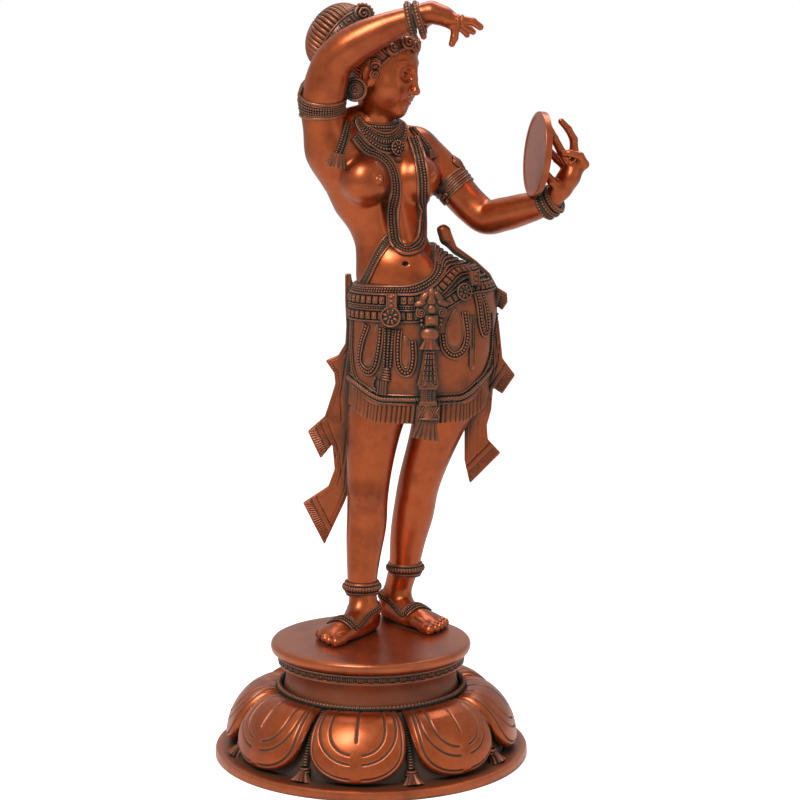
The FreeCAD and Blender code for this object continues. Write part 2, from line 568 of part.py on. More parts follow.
def make_necklaces(trunk, head):
    root = point("neck_root")
    choker = ring_on("choker", root + Vector(0, 0, 3), Vector(0.1, -0.2, 1), 17.5, "chain_section", [trunk, head])
    keep(choker, "choker")
    collar = ring_on("collar", root + Vector(2, -8, -13), Vector(0.15, -0.5, 1), 29, "chain_section",
                     [trunk, head, choker])
    keep(collar, "collar_necklace")
    locket = ball("pendant", "Sizes.rosette_radius")
    doc.recompute()
    keep(trimmed(locket, [trunk, collar]), "pendant")
    loop = on_front([(-6, 563), (8, 550), (17, 530), (20, 505), (19, 480), (24, 465), (34, 460), (43, 467), (46, 485),
                     (43, 507), (40, 530), (40, 548), (38, 560)], size("chain_section") - 0.6)
    chain = shape_piece("chain_tube", tube(loop, size("chain_section")))
    keep(trimmed(chain, [trunk, collar, doc.pendant_ball]), "long_chain")
    strap = on_front([(16, 476), (6, 464), (-3, 450), (-7, 440)], size("chain_section") - 0.6)
    waist_strap = shape_piece("strap_tube", tube(strap, size("chain_section")))
    keep(trimmed(waist_strap, [trunk, chain]), "waist_strap")
    drops = []
    for top, bottom in ((Vector(-22, 14, 566), Vector(-26, 9, 538)), (Vector(54, 52, 560), Vector(58, 48, 542))):
        drops.append(tube([top, (top + bottom) * 0.5 + Vector(-1, -2, 0), bottom], 3.0).fuse(
            Part.makeCone(3, 6, 9, bottom + Vector(0, 0, 2), Vector(0, 0, -1))))
    tassels = shape_piece("shoulder_drops", Part.makeCompound(drops))
    keep(trimmed(tassels, [trunk, collar]), "shoulder_tassels")


# ---------------------------------------------------------------- dress: skirt, girdle and sashes
def make_dress():
    grow = "Sizes.skirt_thickness"
    core = doc.trunk_body
    cloth = loft("skirt", [ellipse_ring("thighs", grow, 10), ellipse_ring("seat", grow),
                           ellipse_ring("hips", grow), ellipse_ring("loin", grow)])
    keep(trimmed(cloth, [core]), "skirt")
    belt_grow = "Sizes.skirt_thickness + Sizes.girdle_thickness"
    belt = loft("girdle", [ellipse_ring("loin", belt_grow, -12, -8), ellipse_ring("haunch", "3", -4, -10)])
    keep(trimmed(belt, [core, cloth]), "girdle")
    clasp = bind(place(doc.addObject("Part::Ellipsoid", "clasp_boss"), "clasp"), Radius2="Sizes.rosette_radius * 1.6")
    clasp.Radius1, clasp.Radius3 = 17, 10
    clasp.Angle1, clasp.Angle2, clasp.Angle3 = -90, 90, 360
    keep(trimmed(clasp, [core, cloth, belt]), "girdle_clasp")
    flowers = []
    for name in ("right_rosette", "left_rosette"):
        spot = point(name)
        outwards = Vector(spot.x - size("loin_x"), spot.y - size("loin_y"), 0)
        start = spot - outwards.normalize() * size("rosette_depth") * 2
        flowers.append(Part.makeCylinder(size("rosette_radius"), size("rosette_depth") * 3.4, start, outwards))
    rosettes = shape_piece("rosette_discs", Part.makeCompound(flowers))
    keep(trimmed(rosettes, [core, cloth, belt]), "girdle_rosettes")

    swags = []
    for middle, top, bottom, half in ((4, 398, 352, 9), (31, 394, 346, 9), (76, 400, 362, 10), (99, 412, 380, 7)):
        out = size("skirt_thickness") + size("swag_section") - 1
        swags.append(tube(on_front([(middle - half, top), (middle - half * 0.9, bottom + 6), (middle, bottom - 4),
                                    (middle + half * 0.9, bottom + 6), (middle + half, top)], out),
                          size("swag_section")))
    loops = shape_piece("swag_tubes", swags[0].multiFuse(swags[1:]))
    keep(trimmed(loops, [cloth, belt]), "skirt_swags")
    hem = loft("hem", [ellipse_ring("thighs", "Sizes.skirt_thickness + Sizes.hem_section", 12),
                       ellipse_ring("seat", "Sizes.skirt_thickness + Sizes.hem_section", -17)])
    hem_cord = keep(trimmed(hem, [cloth, core]), "hem_cord")
    top, low = -1.0 + size("hem_section") * 3, size("hem_section") * 3 - 1 - size("frill_height")
    frill = loft("frill", [ellipse_ring("thighs", "Sizes.frill_thickness + 3", low),
                           ellipse_ring("thighs", "Sizes.frill_thickness + 2", top)])
    lining = loft("frill_lining", [ellipse_ring("thighs", "2", low - 3), ellipse_ring("thighs", "1", top + 3)])
    keep(trimmed(frill, [lining]), "skirt_frill")
    bars = [on_front([(52, 412), (52, 330)], size("skirt_thickness") + 3)]
    bars[0].append(bars[0][1] + Vector(0, -3, -22))
    cord = tube(bars[0], 5.0)
    end = bars[0][2]
    fringe = Part.makeCone(5.5, 13, 22, end + Vector(0, 0, 5), Vector(0, 0, -1))
    front = shape_piece("front_tassel_shape", cord.fuse(fringe))
    keep(trimmed(front, [cloth, belt, clasp, hem, frill]), "front_tassel")


# Each sash hangs behind the hip: down the outside of the skirt in three fish tails, and back up against the dress.
RIGHT_SASH = [(-27, 440), (-27, 413), (-27, 390), (-29, 370), (-42, 357), (-34, 345), (-33, 335), (-37, 322),
              (-43, 304), (-59, 290), (-47, 264), (-36, 278), (-34, 254), (-40, 238), (-64, 222), (-44, 181),
              (-25, 222), (-20, 235), (-16, 283), (-16, 306), (-27.5, 309), (-27.5, 333), (-22.5, 337), (-22.5, 440)]
LEFT_SASH = [(73, 480), (80, 463), (98, 450), (112, 436), (127, 419), (128, 411), (123, 400), (121, 392),
             (124, 359), (135, 343), (123, 325), (114.5, 331), (113, 310), (109, 295), (110, 282), (122, 269),
             (93, 240), (88, 262), (88, 302), (109, 308), (109, 334), (114, 350), (116, 385), (116, 398),
             (119.5, 405), (119.5, 424), (105, 434), (104.5, 440), (92, 447), (77, 456), (67, 466), (62, 480)]


def make_sashes():
    for side, outline in (("right", RIGHT_SASH), ("left", LEFT_SASH)):
        blank = plate(f"{side}_sash", outline, "Sizes.sash_thickness")
        blank.Placement.Base = Vector(0, 60, 0)
        keep(blank, f"{side}_sash")


# ---------------------------------------------------------------- build, check and export
def export_pieces():
    broken = [o.Name for o in doc.Objects if "Invalid" in o.State or "Error" in o.State]
    if broken:
        reasons = [f"{name}: {doc.getObject(name).getStatusString()}" for name in broken]
        raise RuntimeError("failed objects: " + "; ".join(reasons))
    os.makedirs("parts", exist_ok=True)
    for piece in pieces:
        shape = piece.Shape
        if shape.isNull() or not shape.isValid() or not shape.Solids:
            raise RuntimeError(f"{piece.Label} is not a valid solid")
        solids = [s for s in shape.Solids if s.Volume > 20.0]   # trimming leaves crumbs inside a neighbour
        whole = solids[0] if len(solids) == 1 else Part.makeCompound(solids)
        whole.exportStep(f"parts/{piece.Label}.step")
        print(f"{piece.Label:20s} {len(solids):2d} solids {whole.Volume / 1000:9.2f} cm3")


make_base()
make_trunk()
make_legs()
make_arms(doc.trunk_body)
make_mirror()
head_piece = make_head(doc.trunk_body)
make_necklaces(doc.trunk_body, head_piece)
make_dress()
make_sashes()
doc.recompute()
export_pieces()
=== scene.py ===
import json
from math import atan2, copysign, cos, exp, hypot, pi, radians, sin
import bpy
import numpy as np
import openvdb
from mathutils import Matrix, Vector
from mathutils.bvhtree import BVHTree


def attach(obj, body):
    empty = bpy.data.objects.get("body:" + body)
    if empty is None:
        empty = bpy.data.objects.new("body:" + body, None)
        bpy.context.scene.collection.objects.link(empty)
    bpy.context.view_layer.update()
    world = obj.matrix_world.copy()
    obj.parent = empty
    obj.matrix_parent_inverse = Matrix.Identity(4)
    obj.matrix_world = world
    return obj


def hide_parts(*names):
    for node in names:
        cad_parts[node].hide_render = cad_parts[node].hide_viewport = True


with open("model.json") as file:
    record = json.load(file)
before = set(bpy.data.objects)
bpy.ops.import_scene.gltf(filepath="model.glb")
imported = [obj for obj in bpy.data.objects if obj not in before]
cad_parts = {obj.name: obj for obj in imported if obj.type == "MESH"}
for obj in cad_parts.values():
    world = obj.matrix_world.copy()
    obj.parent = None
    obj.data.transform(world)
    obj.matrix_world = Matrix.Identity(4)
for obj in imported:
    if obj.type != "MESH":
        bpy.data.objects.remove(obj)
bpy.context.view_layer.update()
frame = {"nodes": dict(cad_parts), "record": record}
mm = 0.001
front = np.array([0.0, -1.0, 0.0])
up = np.array([0.0, 0.0, 1.0])


def deselectAll():
    bpy.ops.object.select_all(action="DESELECT")


def makeActive(obj):
    deselectAll()
    obj.select_set(True)
    bpy.context.view_layer.objects.active = obj


def unit(v):
    v = np.asarray(v, float)
    return v / max(np.linalg.norm(v), 1e-9)


def evenTurns(count):   # angles spaced evenly round a full turn
    return np.arange(count) * 2 * pi / count


def circle(centre, axes, radius, count, height=0.0):   # places round a ring that stands off by height
    turns = evenTurns(count)
    return [centre + axes @ np.array((cos(t) * radius, sin(t) * radius, height)) for t in turns]


# ---- finishes
def linear(code):   # sRGB hex to linear colour
    parts = [int(code[i:i + 2], 16) / 255 for i in (1, 3, 5)]
    return [p / 12.92 if p <= 0.04045 else ((p + 0.055) / 1.055) ** 2.4 for p in parts] + [1.0]


def addNode(tree, kind, links=(), **settings):   # links: (input, source); settings: sockets or attributes
    node = tree.nodes.new(kind)
    for name, value in settings.items():
        if hasattr(node, name):
            setattr(node, name, value)
        else:
            node.inputs[name.replace("_", " ")].default_value = value
    for name, source in links:
        tree.links.new(node.inputs[name], source)
    return node


def addRamp(tree, source, stops):
    ramp = addNode(tree, "ShaderNodeValToRGB", links=[("Fac", source)])
    elements = ramp.color_ramp.elements
    while len(elements) < len(stops):
        elements.new(0.5)
    for element, (place, value) in zip(elements, stops):
        element.position = place
        element.color = linear(value) if isinstance(value, str) else (value, value, value, 1)
    return ramp.outputs["Color"]


def addMix(tree, fac, a, b, blend="MIX"):
    mix = tree.nodes.new("ShaderNodeMix")
    mix.data_type = "RGBA"
    mix.blend_type = blend
    for socket, value in ((mix.inputs["Factor"], fac), (mix.inputs["A"], a), (mix.inputs["B"], b)):
        if isinstance(value, bpy.types.NodeSocket):
            tree.links.new(socket, value)
        else:
            socket.default_value = value
    return mix.outputs["Result"]


def emptyTree(holder):   # the cleared node tree of a material or the world
    holder.use_nodes = True
    holder.node_tree.nodes.clear()
    return holder.node_tree


# the darkest colour stands for patina, wax and painted shade alike; the occlusion thresholds set how much of
# each recess it covers
brassLook = {"copper": "#C0571E", "deep": "#8C3408", "rubbed": "#D98A62", "patinaAndShade": "#2C3428",
    "roughness": 0.31, "recessReach": 8.0, "shadePatinaFrom": 0.22, "shadePatinaTo": 0.60, "film": 0.0}
ornamentLook = dict(brassLook, copper="#A44E2A", deep="#4A2817", rubbed="#D07A50", roughness=0.34,
    recessReach=8.0, shadePatinaFrom=0.72, shadePatinaTo=1.0, film=0.22)


def antiqueBrass(name, look):   # hand-rubbed copper-red casting, green-black patina left in the hollows, and painted shade darkening the same hollows
    material = bpy.data.materials.new(name)
    tree = emptyTree(material)
    place = addNode(tree, "ShaderNodeTexCoord").outputs["Object"]
    cloud = addNode(tree, "ShaderNodeTexNoise", links=[("Vector", place)], Scale=22.0, Detail=4.0,
        Roughness=0.6)
    mottle = addNode(tree, "ShaderNodeTexNoise", links=[("Vector", place)], Scale=160.0, Detail=3.0,
        Roughness=0.65)
    # ambient occlusion: recesses and the metal next to other parts darken, as patina and as painted shade
    hollow = addNode(tree, "ShaderNodeAmbientOcclusion", samples=8, only_local=False,
        Distance=look["recessReach"] * mm)
    worn = addNode(tree, "ShaderNodeNewGeometry").outputs["Pointiness"]
    body = addRamp(tree, cloud.outputs["Fac"], [(0.26, look["deep"]),
        (0.52, look["copper"])])   # uneven heat colouring
    flecked = addMix(tree, 0.10, body, addRamp(tree, mottle.outputs["Fac"], [(0.35, look["deep"]),
        (0.7, look["rubbed"])]))
    edge = addRamp(tree, worn, [(0.50, 0.0), (0.58, 0.5)])   # rims and bead tops rubbed bright
    rubbed = addMix(tree, edge, flecked, linear(look["rubbed"]))
    shift = addNode(tree, "ShaderNodeMath", operation="MULTIPLY_ADD", links=[(0, mottle.outputs["Fac"])])
    shift.inputs[1].default_value = 0.12
    shift.inputs[2].default_value = -0.06
    openness = addNode(tree, "ShaderNodeMath", operation="ADD", links=[(0, hollow.outputs["AO"]),
        (1, shift.outputs[0])])
    recessPatinaAndShade = addRamp(tree, openness.outputs[0], [(look["shadePatinaFrom"], 1.0),
        (look["shadePatinaTo"], 0.0)])   # dark wax and patina in recesses, with painted shade where parts crowd and overhang each other
    waxAndShade = addNode(tree, "ShaderNodeAttribute",
        attribute_name="waxAndShade").outputs["Fac"]   # engraved lines filled with wax, and painted shade on the drum
    film = addRamp(tree, cloud.outputs["Fac"], [(0.35, look["film"]),
        (0.65, 0.0)])   # wax left on the open metal
    # all the darkening together: wax, patina and painted shade
    dirtAndShade = addMix(tree, 1.0, addMix(tree, 1.0, recessPatinaAndShade, waxAndShade, "LIGHTEN"), film, "LIGHTEN")
    colour = addMix(tree, dirtAndShade, rubbed, linear(look["patinaAndShade"]))
    gloss = addNode(tree, "ShaderNodeMapRange", links=[("Value", mottle.outputs["Fac"])])
    gloss.inputs["To Min"].default_value = look["roughness"] - 0.06
    gloss.inputs["To Max"].default_value = look["roughness"] + 0.10
    dull = addMix(tree, dirtAndShade, gloss.outputs["Result"], (0.75, 0.75, 0.75, 1))
    metal = addRamp(tree, dirtAndShade, [(0.0, 0.86), (1.0, 0.15)])
    grain = addNode(tree, "ShaderNodeTexNoise", links=[("Vector", place)], Scale=900.0, Detail=2.0)
    bump = addNode(tree, "ShaderNodeBump", links=[("Height", grain.outputs["Fac"])], Strength=0.05,
        Distance=0.0004)
    shader = addNode(tree, "ShaderNodeBsdfPrincipled", links=[("Base Color", colour), ("Roughness", dull),
        ("Metallic", metal), ("Normal", bump.outputs["Normal"])])
    shader.inputs["Coat Weight"].default_value = 0.45   # thin lacquer
    shader.inputs["Coat Roughness"].default_value = 0.28
    addNode(tree, "ShaderNodeOutputMaterial", links=[("Surface", shader.outputs["BSDF"])])
    return material


def zincSteel(name):
    material = bpy.data.materials.new(name)
    material.use_nodes = True
    tree = material.node_tree
    shader = tree.nodes["Principled BSDF"]
    place = addNode(tree, "ShaderNodeTexCoord").outputs["Object"]
    spangle = addNode(tree, "ShaderNodeTexVoronoi", links=[("Vector", place)], Scale=400.0)
    tree.links.new(shader.inputs["Base Color"], addRamp(tree, spangle.outputs["Distance"],
        [(0.0, "#9A9C9A"), (0.7, "#C2C4C0")]))
    shader.inputs["Metallic"].default_value = 1.0
    shader.inputs["Roughness"].default_value = 0.42
    return material


finishes = {
    "figure_brass": antiqueBrass("figureBrassHandRubbed", brassLook),
    "ornament_brass": antiqueBrass("ornamentBrassChased", ornamentLook),
    # a wider occlusion reach: the base darkens beside the feet and under overhangs, painted shade as well as
    # patina
    "base_brass": antiqueBrass("baseBrassHandRubbed", dict(brassLook, recessReach=10.0, shadePatinaTo=0.62)),
    "hair_brass": antiqueBrass("hairBrassChased", dict(ornamentLook, copper="#B0562C", recessReach=5.0,
     shadePatinaFrom=0.44, shadePatinaTo=0.88, film=0.25)),
    # a wide occlusion reach: the skirt darkens round its ornaments, painted shade as well as patina
    "cloth_brass": antiqueBrass("clothBrassChased", dict(ornamentLook, copper="#B25626", deep="#6A3014",
     recessReach=15.0, shadePatinaFrom=0.56, shadePatinaTo=0.92, film=0.10)),
    "steel_fixing": zincSteel("fixingSteelZincPlated"),
}
slotOf = {entry["node"]: entry["material_slot"] for entry in frame["record"]["subparts"]}


def nodeNamed(name):   # rightFootChain stands for the node right_foot_chain
    return "".join("_" + letter.lower() if letter.isupper() else letter for letter in name)


def settle(obj, nodes, smoothAngle=None):   # finish, slot, ride and replacement of one piece
    obj.data.materials.clear()
    obj.data.materials.append(finishes[slotOf[nodes[0]]])
    makeActive(obj)
    if smoothAngle is None:
        bpy.ops.object.shade_smooth()
    else:
        bpy.ops.object.shade_smooth_by_angle(angle=radians(smoothAngle))
    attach(obj, "root")
    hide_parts(*nodes)
    deselectAll()
    return obj


def meshPiece(name, points, faces):   # points in millimetres
    mesh = bpy.data.meshes.new(name)
    mesh.from_pydata((np.asarray(points) * mm).tolist(), [], faces)
    mesh.update()
    obj = bpy.data.objects.new(name, mesh)
    bpy.context.collection.objects.link(obj)
    return obj


# ---- small shapes that are gathered into one piece
class Parts:
    def __init__(self):
        self.points, self.faces, self.count = [], [], 0

    def add(self, points, faces):
        points = np.asarray(points, float)
        self.points.append(points)
        self.faces += [tuple(int(i) + self.count for i in face) for face in faces]
        self.count += len(points)

    def piece(self, name, smoothAngle=55):
        obj = meshPiece(name, np.vstack(self.points), self.faces)
        print(name, len(obj.data.polygons), "faces")
        return settle(obj, [nodeNamed(name)], smoothAngle)


def gridFaces(rows, columns, loopRows=False, loopColumns=False):
    faces = []
    for i in range(rows if loopRows else rows - 1):
        for j in range(columns if loopColumns else columns - 1):
            a, b = i * columns + j, i * columns + (j + 1) % columns
            c, d = ((i + 1) % rows) * columns + (j + 1) % columns, ((i + 1) % rows) * columns + j
            faces.append((a, b, c, d))
    return faces


def ballShape(rings=4, sides=8):   # unit sphere: top, rings, bottom
    points = [(0, 0, 1)]
    for i in range(1, rings + 1):
        a = pi * i / (rings + 1)
        points += [(sin(a) * cos(t), sin(a) * sin(t), cos(a)) for t in evenTurns(sides)]
    points.append((0, 0, -1))
    faces = [(0, 1 + j, 1 + (j + 1) % sides) for j in range(sides)]
    for i in range(rings - 1):
        for j in range(sides):
            a, b = 1 + i * sides + j, 1 + i * sides + (j + 1) % sides
            faces.append((a, a + sides, b + sides, b))
    last = len(points) - 1
    start = 1 + (rings - 1) * sides
    faces += [(last, start + (j + 1) % sides, start + j) for j in range(sides)]
    return np.array(points), faces


beadPoints, beadFaces = ballShape(3, 7)
bossPoints, bossFaces = ballShape(6, 14)


def basis(normal, along):   # columns: along, across, normal
    normal = unit(normal)
    along = np.asarray(along, float) - normal * np.dot(along, normal)
    along = unit(along) if np.linalg.norm(along) > 1e-6 else unit(np.cross(normal, (0.3, 0.5, 0.8)))
    return np.stack([along, np.cross(normal, along), normal], axis=1)


def addBall(parts, centre, radii, axes=np.eye(3), fine=False):
    points, faces = (bossPoints, bossFaces) if fine else (beadPoints, beadFaces)
    parts.add((points * np.asarray(radii)) @ np.asarray(axes).T + np.asarray(centre), faces)


def addBlock(parts, centre, half, axes, taper=0.75):   # a cast block whose outer face is smaller
    corners = []
    for level, scale in ((-1, 1.0), (0.3, 1.0), (1, taper)):
        corners += [(sx * scale, sy * scale, level) for sx, sy in ((-1, -1), (1, -1), (1, 1), (-1, 1))]
    faces = [(3, 2, 1, 0), (8, 9, 10, 11)]
    for level in (0, 4):
        faces += [(level + i, level + (i + 1) % 4, level + 4 + (i + 1) % 4, level + 4 + i) for i in range(4)]
    parts.add((np.array(corners) * np.asarray(half)) @ np.asarray(axes).T + np.asarray(centre), faces)


def addTube(parts, path, radius, sides=8, closed=False, squash=1.0, normals=None):
    path = np.asarray(path, float)
    n = len(path)
    radius = np.broadcast_to(np.asarray(radius, float), (n,))
    tangents = np.roll(path, -1, 0) - np.roll(path, 1, 0) if closed else np.gradient(path, axis=0)
    side = np.array([0.31, 0.23, 0.92])
    rings = []
    for i in range(n):
        t = unit(tangents[i])
        if normals is not None:
            side = normals[i]
        side = unit(side - t * np.dot(side, t))
        other = np.cross(t, side)
        angles = evenTurns(sides)
        rings.append(path[i] + radius[i] * (np.outer(np.cos(angles) * squash, side)
            + np.outer(np.sin(angles), other)))
    points = np.vstack(rings)
    faces = gridFaces(n, sides, loopRows=closed, loopColumns=True)
    if not closed:
        faces += [tuple(range(sides))[::-1], tuple(range((n - 1) * sides, n * sides))]
    parts.add(points, faces)


def smoothLine(points, samples, closed=False):   # an even Catmull-Rom line through the points
    p = np.asarray(points, float)
    if closed:
        p = np.vstack([p[-1:], p, p[:2]])
    else:
        p = np.vstack([2 * p[:1] - p[1:2], p, 2 * p[-1:] - p[-2:-1]])
    fine = []
    for i in range(1, len(p) - 2):
        t = np.linspace(0, 1, 24, endpoint=False)[:, None]
        fine.append(0.5 * (2 * p[i] + (p[i + 1] - p[i - 1]) * t + (2 * p[i - 1] - 5 * p[i] + 4 * p[i + 1]
            - p[i + 2]) * t ** 2 + (3 * p[i] - p[i - 1] - 3 * p[i + 1] + p[i + 2]) * t ** 3))
    fine = np.vstack(fine + [p[-2:-1]])
    run = np.concatenate([[0], np.cumsum(np.linalg.norm(np.diff(fine, axis=0), axis=1))])
    want = np.linspace(0, run[-1], samples, endpoint=not closed)
    return np.stack([np.interp(want, run, fine[:, k]) for k in range(3)], axis=1)


def runLength(path, closed=False):
    steps = np.diff(np.vstack([path, path[:1]]) if closed else path, axis=0)
    return float(np.linalg.norm(steps, axis=1).sum())


class Surface:   # a skin that ornaments are laid on
    def __init__(self, objects):
        points, faces, count = [], [], 0
        for obj in objects:
            vertices = np.empty(len(obj.data.vertices) * 3)
            obj.data.vertices.foreach_get("co", vertices)
            points.append(vertices.reshape(-1, 3) / mm)
            faces += [tuple(i + count for i in polygon.vertices) for polygon in obj.data.polygons]
            count += len(obj.data.vertices)
        self.tree = BVHTree.FromPolygons(np.vstack(points).tolist(), faces)

    def nearest(self, p):
        place, normal = self.tree.find_nearest(Vector(p))[:2]
        return np.array(place), np.array(normal)

    def aim(self, start, direction):
        place, normal = self.tree.ray_cast(Vector(start), Vector(direction))[:2]
        return (None, None) if place is None else (np.array(place), np.array(normal))


def seenAt(skin, x, z):   # place and normal of the skin at x and height, seen from the front
    return skin.aim((x, -90, z), (0, 1, 0))


class Line:   # a run over a skin: places, outward normals and sideways directions
    def __init__(self, places, normals, closed=False):
        self.closed = closed
        self.places, self.normals = np.asarray(places), np.asarray(normals)
        if len(self.normals) > 4:   # steadier normals
            for _ in range(3):
                n = self.normals
                before, after = np.roll(n, 1, 0), np.roll(n, -1, 0)
                if not closed:
                    before, after = np.vstack([n[:1], n[:-1]]), np.vstack([n[1:], n[-1:]])
                n = before + 2 * n + after
                self.normals = n / np.linalg.norm(n, axis=1)[:, None]
        p = self.places
        tangents = np.roll(p, -1, 0) - np.roll(p, 1, 0) if closed else np.gradient(p, axis=0)
        self.tangents = tangents / np.maximum(np.linalg.norm(tangents, axis=1)[:, None], 1e-9)
        across = np.cross(self.normals, self.tangents)
        self.across = across / np.maximum(np.linalg.norm(across, axis=1)[:, None], 1e-9)

    def offset(self, sideways=0.0, out=0.0):
        return self.places + self.across * sideways + self.normals * out

    def evenly(self, pitch, sideways=0.0, out=0.0):   # (place, axes) every pitch along the run
        path = self.offset(sideways, out)
        length = runLength(path, self.closed)
        count = max(int(round(length / pitch)), 1)
        ring = np.vstack([path, path[:1]]) if self.closed else path
        run = np.concatenate([[0], np.cumsum(np.linalg.norm(np.diff(ring, axis=0), axis=1))])
        marks = (np.arange(count) + 0.5) * length / count
        index = np.interp(marks, run, np.arange(len(ring)))
        spots = []
        for value in index:
            i, j = int(value) % len(path), (int(value) + 1) % len(path)
            share = value - int(value)
            mixed = [a[i] * (1 - share) + a[j] * share for a in (path, self.normals, self.tangents)]
            spots.append((mixed[0], basis(mixed[1], mixed[2])))
        return spots


def layLine(skin, points, out=0.0, samples=None, closed=False):   # a line through points, pressed onto a skin
    samples = samples or max(int(runLength(np.asarray(points, float)) / 1.6), 8)
    places, normals = [], []
    for p in smoothLine(points, samples, closed):
        place, normal = skin.nearest(p)
        places.append(place + normal * out)
        normals.append(normal)
    return Line(places, normals, closed)


def hoopLine(skin, centre, axis, reach, samples=96, start=0.0, sweep=360.0, rise=None, out=0.0):
    # a run round a limb: skin found from outside towards the axis
    centre, axis = np.asarray(centre, float), unit(axis)
    first = unit(np.cross(axis, np.cross(front, axis)))   # towards the statue's front
    second = np.cross(axis, first)
    places, normals = [], []
    closed = sweep >= 360
    for a in np.radians(start + np.linspace(0, sweep, samples, endpoint=not closed)):
        direction = first * cos(a) + second * sin(a)
        middle = centre + axis * (rise(a) if rise else 0.0)
        place, normal = skin.aim(middle + direction * reach, -direction)
        if place is None:
            place, normal = skin.nearest(middle + direction * reach * 0.3)
        places.append(place + direction * out)
        flat = normal - axis * np.dot(normal, axis) * 0.6
        normals.append(unit(flat))
    return Line(places, normals, closed)


def addCord(parts, line, sideways=0.0, out=0.0, radius=1.0, sides=7, squash=1.0):
    addTube(parts, line.offset(sideways, out), radius, sides, line.closed, squash, line.normals)


def addBeads(parts, line, radius, sideways=0.0, out=0.0, pitch=None, stretch=1.0, fine=False):
    for place, axes in line.evenly(pitch or radius * 2.05 * stretch, sideways, out):
        addBall(parts, place, (radius * stretch, radius, radius), axes, fine)


def addStuds(parts, line, radii, pitch, out=0.0):   # equal studs along a run
    for place, axes in line.evenly(pitch, out=out):
        addBall(parts, place, radii, axes)


def addRims(parts, line, apart, out, radius, sides=7):   # a cord along each edge of a run
    for side in (-apart, apart):
        addCord(parts, line, side, out, radius, sides)


def addStrap(parts, line, width, thickness, sink=0.8, arch=0.3):   # a flat band with rounded edges
    n = len(line.places)
    section = [(-0.5, -sink), (-0.5, thickness * 0.6), (-0.4, thickness), (0.0, thickness * (1 + arch)),
        (0.4, thickness), (0.5, thickness * 0.6), (0.5, -sink)]
    points = np.stack([line.offset(width * a, b) for a, b in section], axis=1).reshape(-1, 3)
    faces = gridFaces(n, len(section), loopRows=line.closed, loopColumns=True)
    if not line.closed:
        k = len(section)
        faces += [tuple(range(k))[::-1], tuple(range((n - 1) * k, n * k))]
    parts.add(points, [face[::-1] for face in faces])


def addRosette(parts, place, axes, radius, petals=8, depth=2.5):   # a flower boss: rim, petals and a centre
    addTube(parts, circle(place, axes, radius, 28, depth * 0.35), radius * 0.13, 7, closed=True)
    addBall(parts, place, (radius * 0.98, radius * 0.98, depth * 0.55), axes, fine=True)
    for i in range(petals):
        a = 2 * pi * (i + 0.5) / petals
        turned = axes @ np.array(Matrix.Rotation(a, 3, "Z"))
        middle = place + turned @ np.array((radius * 0.56, 0, depth * 0.5))
        addBall(parts, middle, (radius * 0.34, radius * 0.16, depth * 0.42), turned, fine=True)
    addBall(parts, place + axes[:, 2] * depth * 0.6, (radius * 0.2, radius * 0.2, depth * 0.5), axes,
        fine=True)


def addFringe(parts, top, bottom, normal, topWidth, bottomWidth, depth, threads):   # a flared tassel end
    top, bottom = np.asarray(top, float), np.asarray(bottom, float)
    down = unit(bottom - top)
    axes = basis(normal, down)
    side, out = axes[:, 1], axes[:, 2]
    levels, count = 9, threads * 4
    rows = []
    for i in range(levels):
        t = i / (levels - 1)
        width = topWidth + (bottomWidth - topWidth) * t ** 1.7
        middle = top + (bottom - top) * t
        ring = []
        for j in range(count):
            a = 2 * pi * j / count
            ridge = 1 + 0.14 * cos(a * threads) * (0.5 + 0.5 * t)
            ring.append(middle + side * cos(a) * width * 0.5 * ridge + out * sin(a) * depth * 0.5
                * (0.7 + 0.5 * t) * ridge)
        rows.append(ring)
    points = [p for ring in rows for p in ring]
    faces = gridFaces(levels, count, loopColumns=True)
    faces += [tuple(range(count))[::-1], tuple(range((levels - 1) * count, levels * count))]
    parts.add(points, faces)


print("kit ready")

# ---- camera, floor and light
viewFrom = {"height": 620.3, "back": 1904.3, "down": 8.7, "right": 0.8, "lens": 95.7}
cameraData = bpy.data.cameras.new("camera")
cameraData.lens = viewFrom["lens"]
cameraData.clip_start, cameraData.clip_end = 0.05, 50
camera = bpy.data.objects.new("camera", cameraData)
bpy.context.collection.objects.link(camera)
camera.location = (0, -viewFrom["back"] * mm, viewFrom["height"] * mm)
camera.rotation_euler = (radians(90 - viewFrom["down"]), 0, -radians(viewFrom["right"]))
bpy.context.scene.camera = camera
bpy.context.scene.view_settings.view_transform = "Standard"

studio = {"sky": 0.29, "glossyShare": 0.21, "keyPower": 40.0, "fillPower": 2.0, "rimPower": 12.0,
    "floorHalf": 6.0, "aim": (0.02, 0.0, 0.35), "floorGlow": 0.76}
world = bpy.data.worlds.new("studio")
bpy.context.scene.world = world
worldTree = emptyTree(world)
lightPath = addNode(worldTree, "ShaderNodeLightPath")
plain = addNode(worldTree, "ShaderNodeBackground", Color=(1, 1, 1, 1), Strength=studio["sky"])
seen = addNode(worldTree, "ShaderNodeBackground", Color=(1, 1, 1, 1), Strength=1.0)
shiny = addNode(worldTree, "ShaderNodeMath", operation="MAXIMUM",
    links=[(0, lightPath.outputs["Is Glossy Ray"]), (1, lightPath.outputs["Is Transmission Ray"])])
share = addNode(worldTree, "ShaderNodeMath", operation="MULTIPLY", links=[(0, shiny.outputs[0])])
share.inputs[1].default_value = studio["glossyShare"]   # metal mirrors the pale backdrop softly
backdrop = addNode(worldTree, "ShaderNodeMath", operation="MAXIMUM",
    links=[(0, lightPath.outputs["Is Camera Ray"]), (1, share.outputs[0])])
eye = addNode(worldTree, "ShaderNodeMixShader", links=[(0, backdrop.outputs[0]), (1, plain.outputs[0]),
    (2, seen.outputs[0])])
addNode(worldTree, "ShaderNodeOutputWorld", links=[("Surface", eye.outputs[0])])


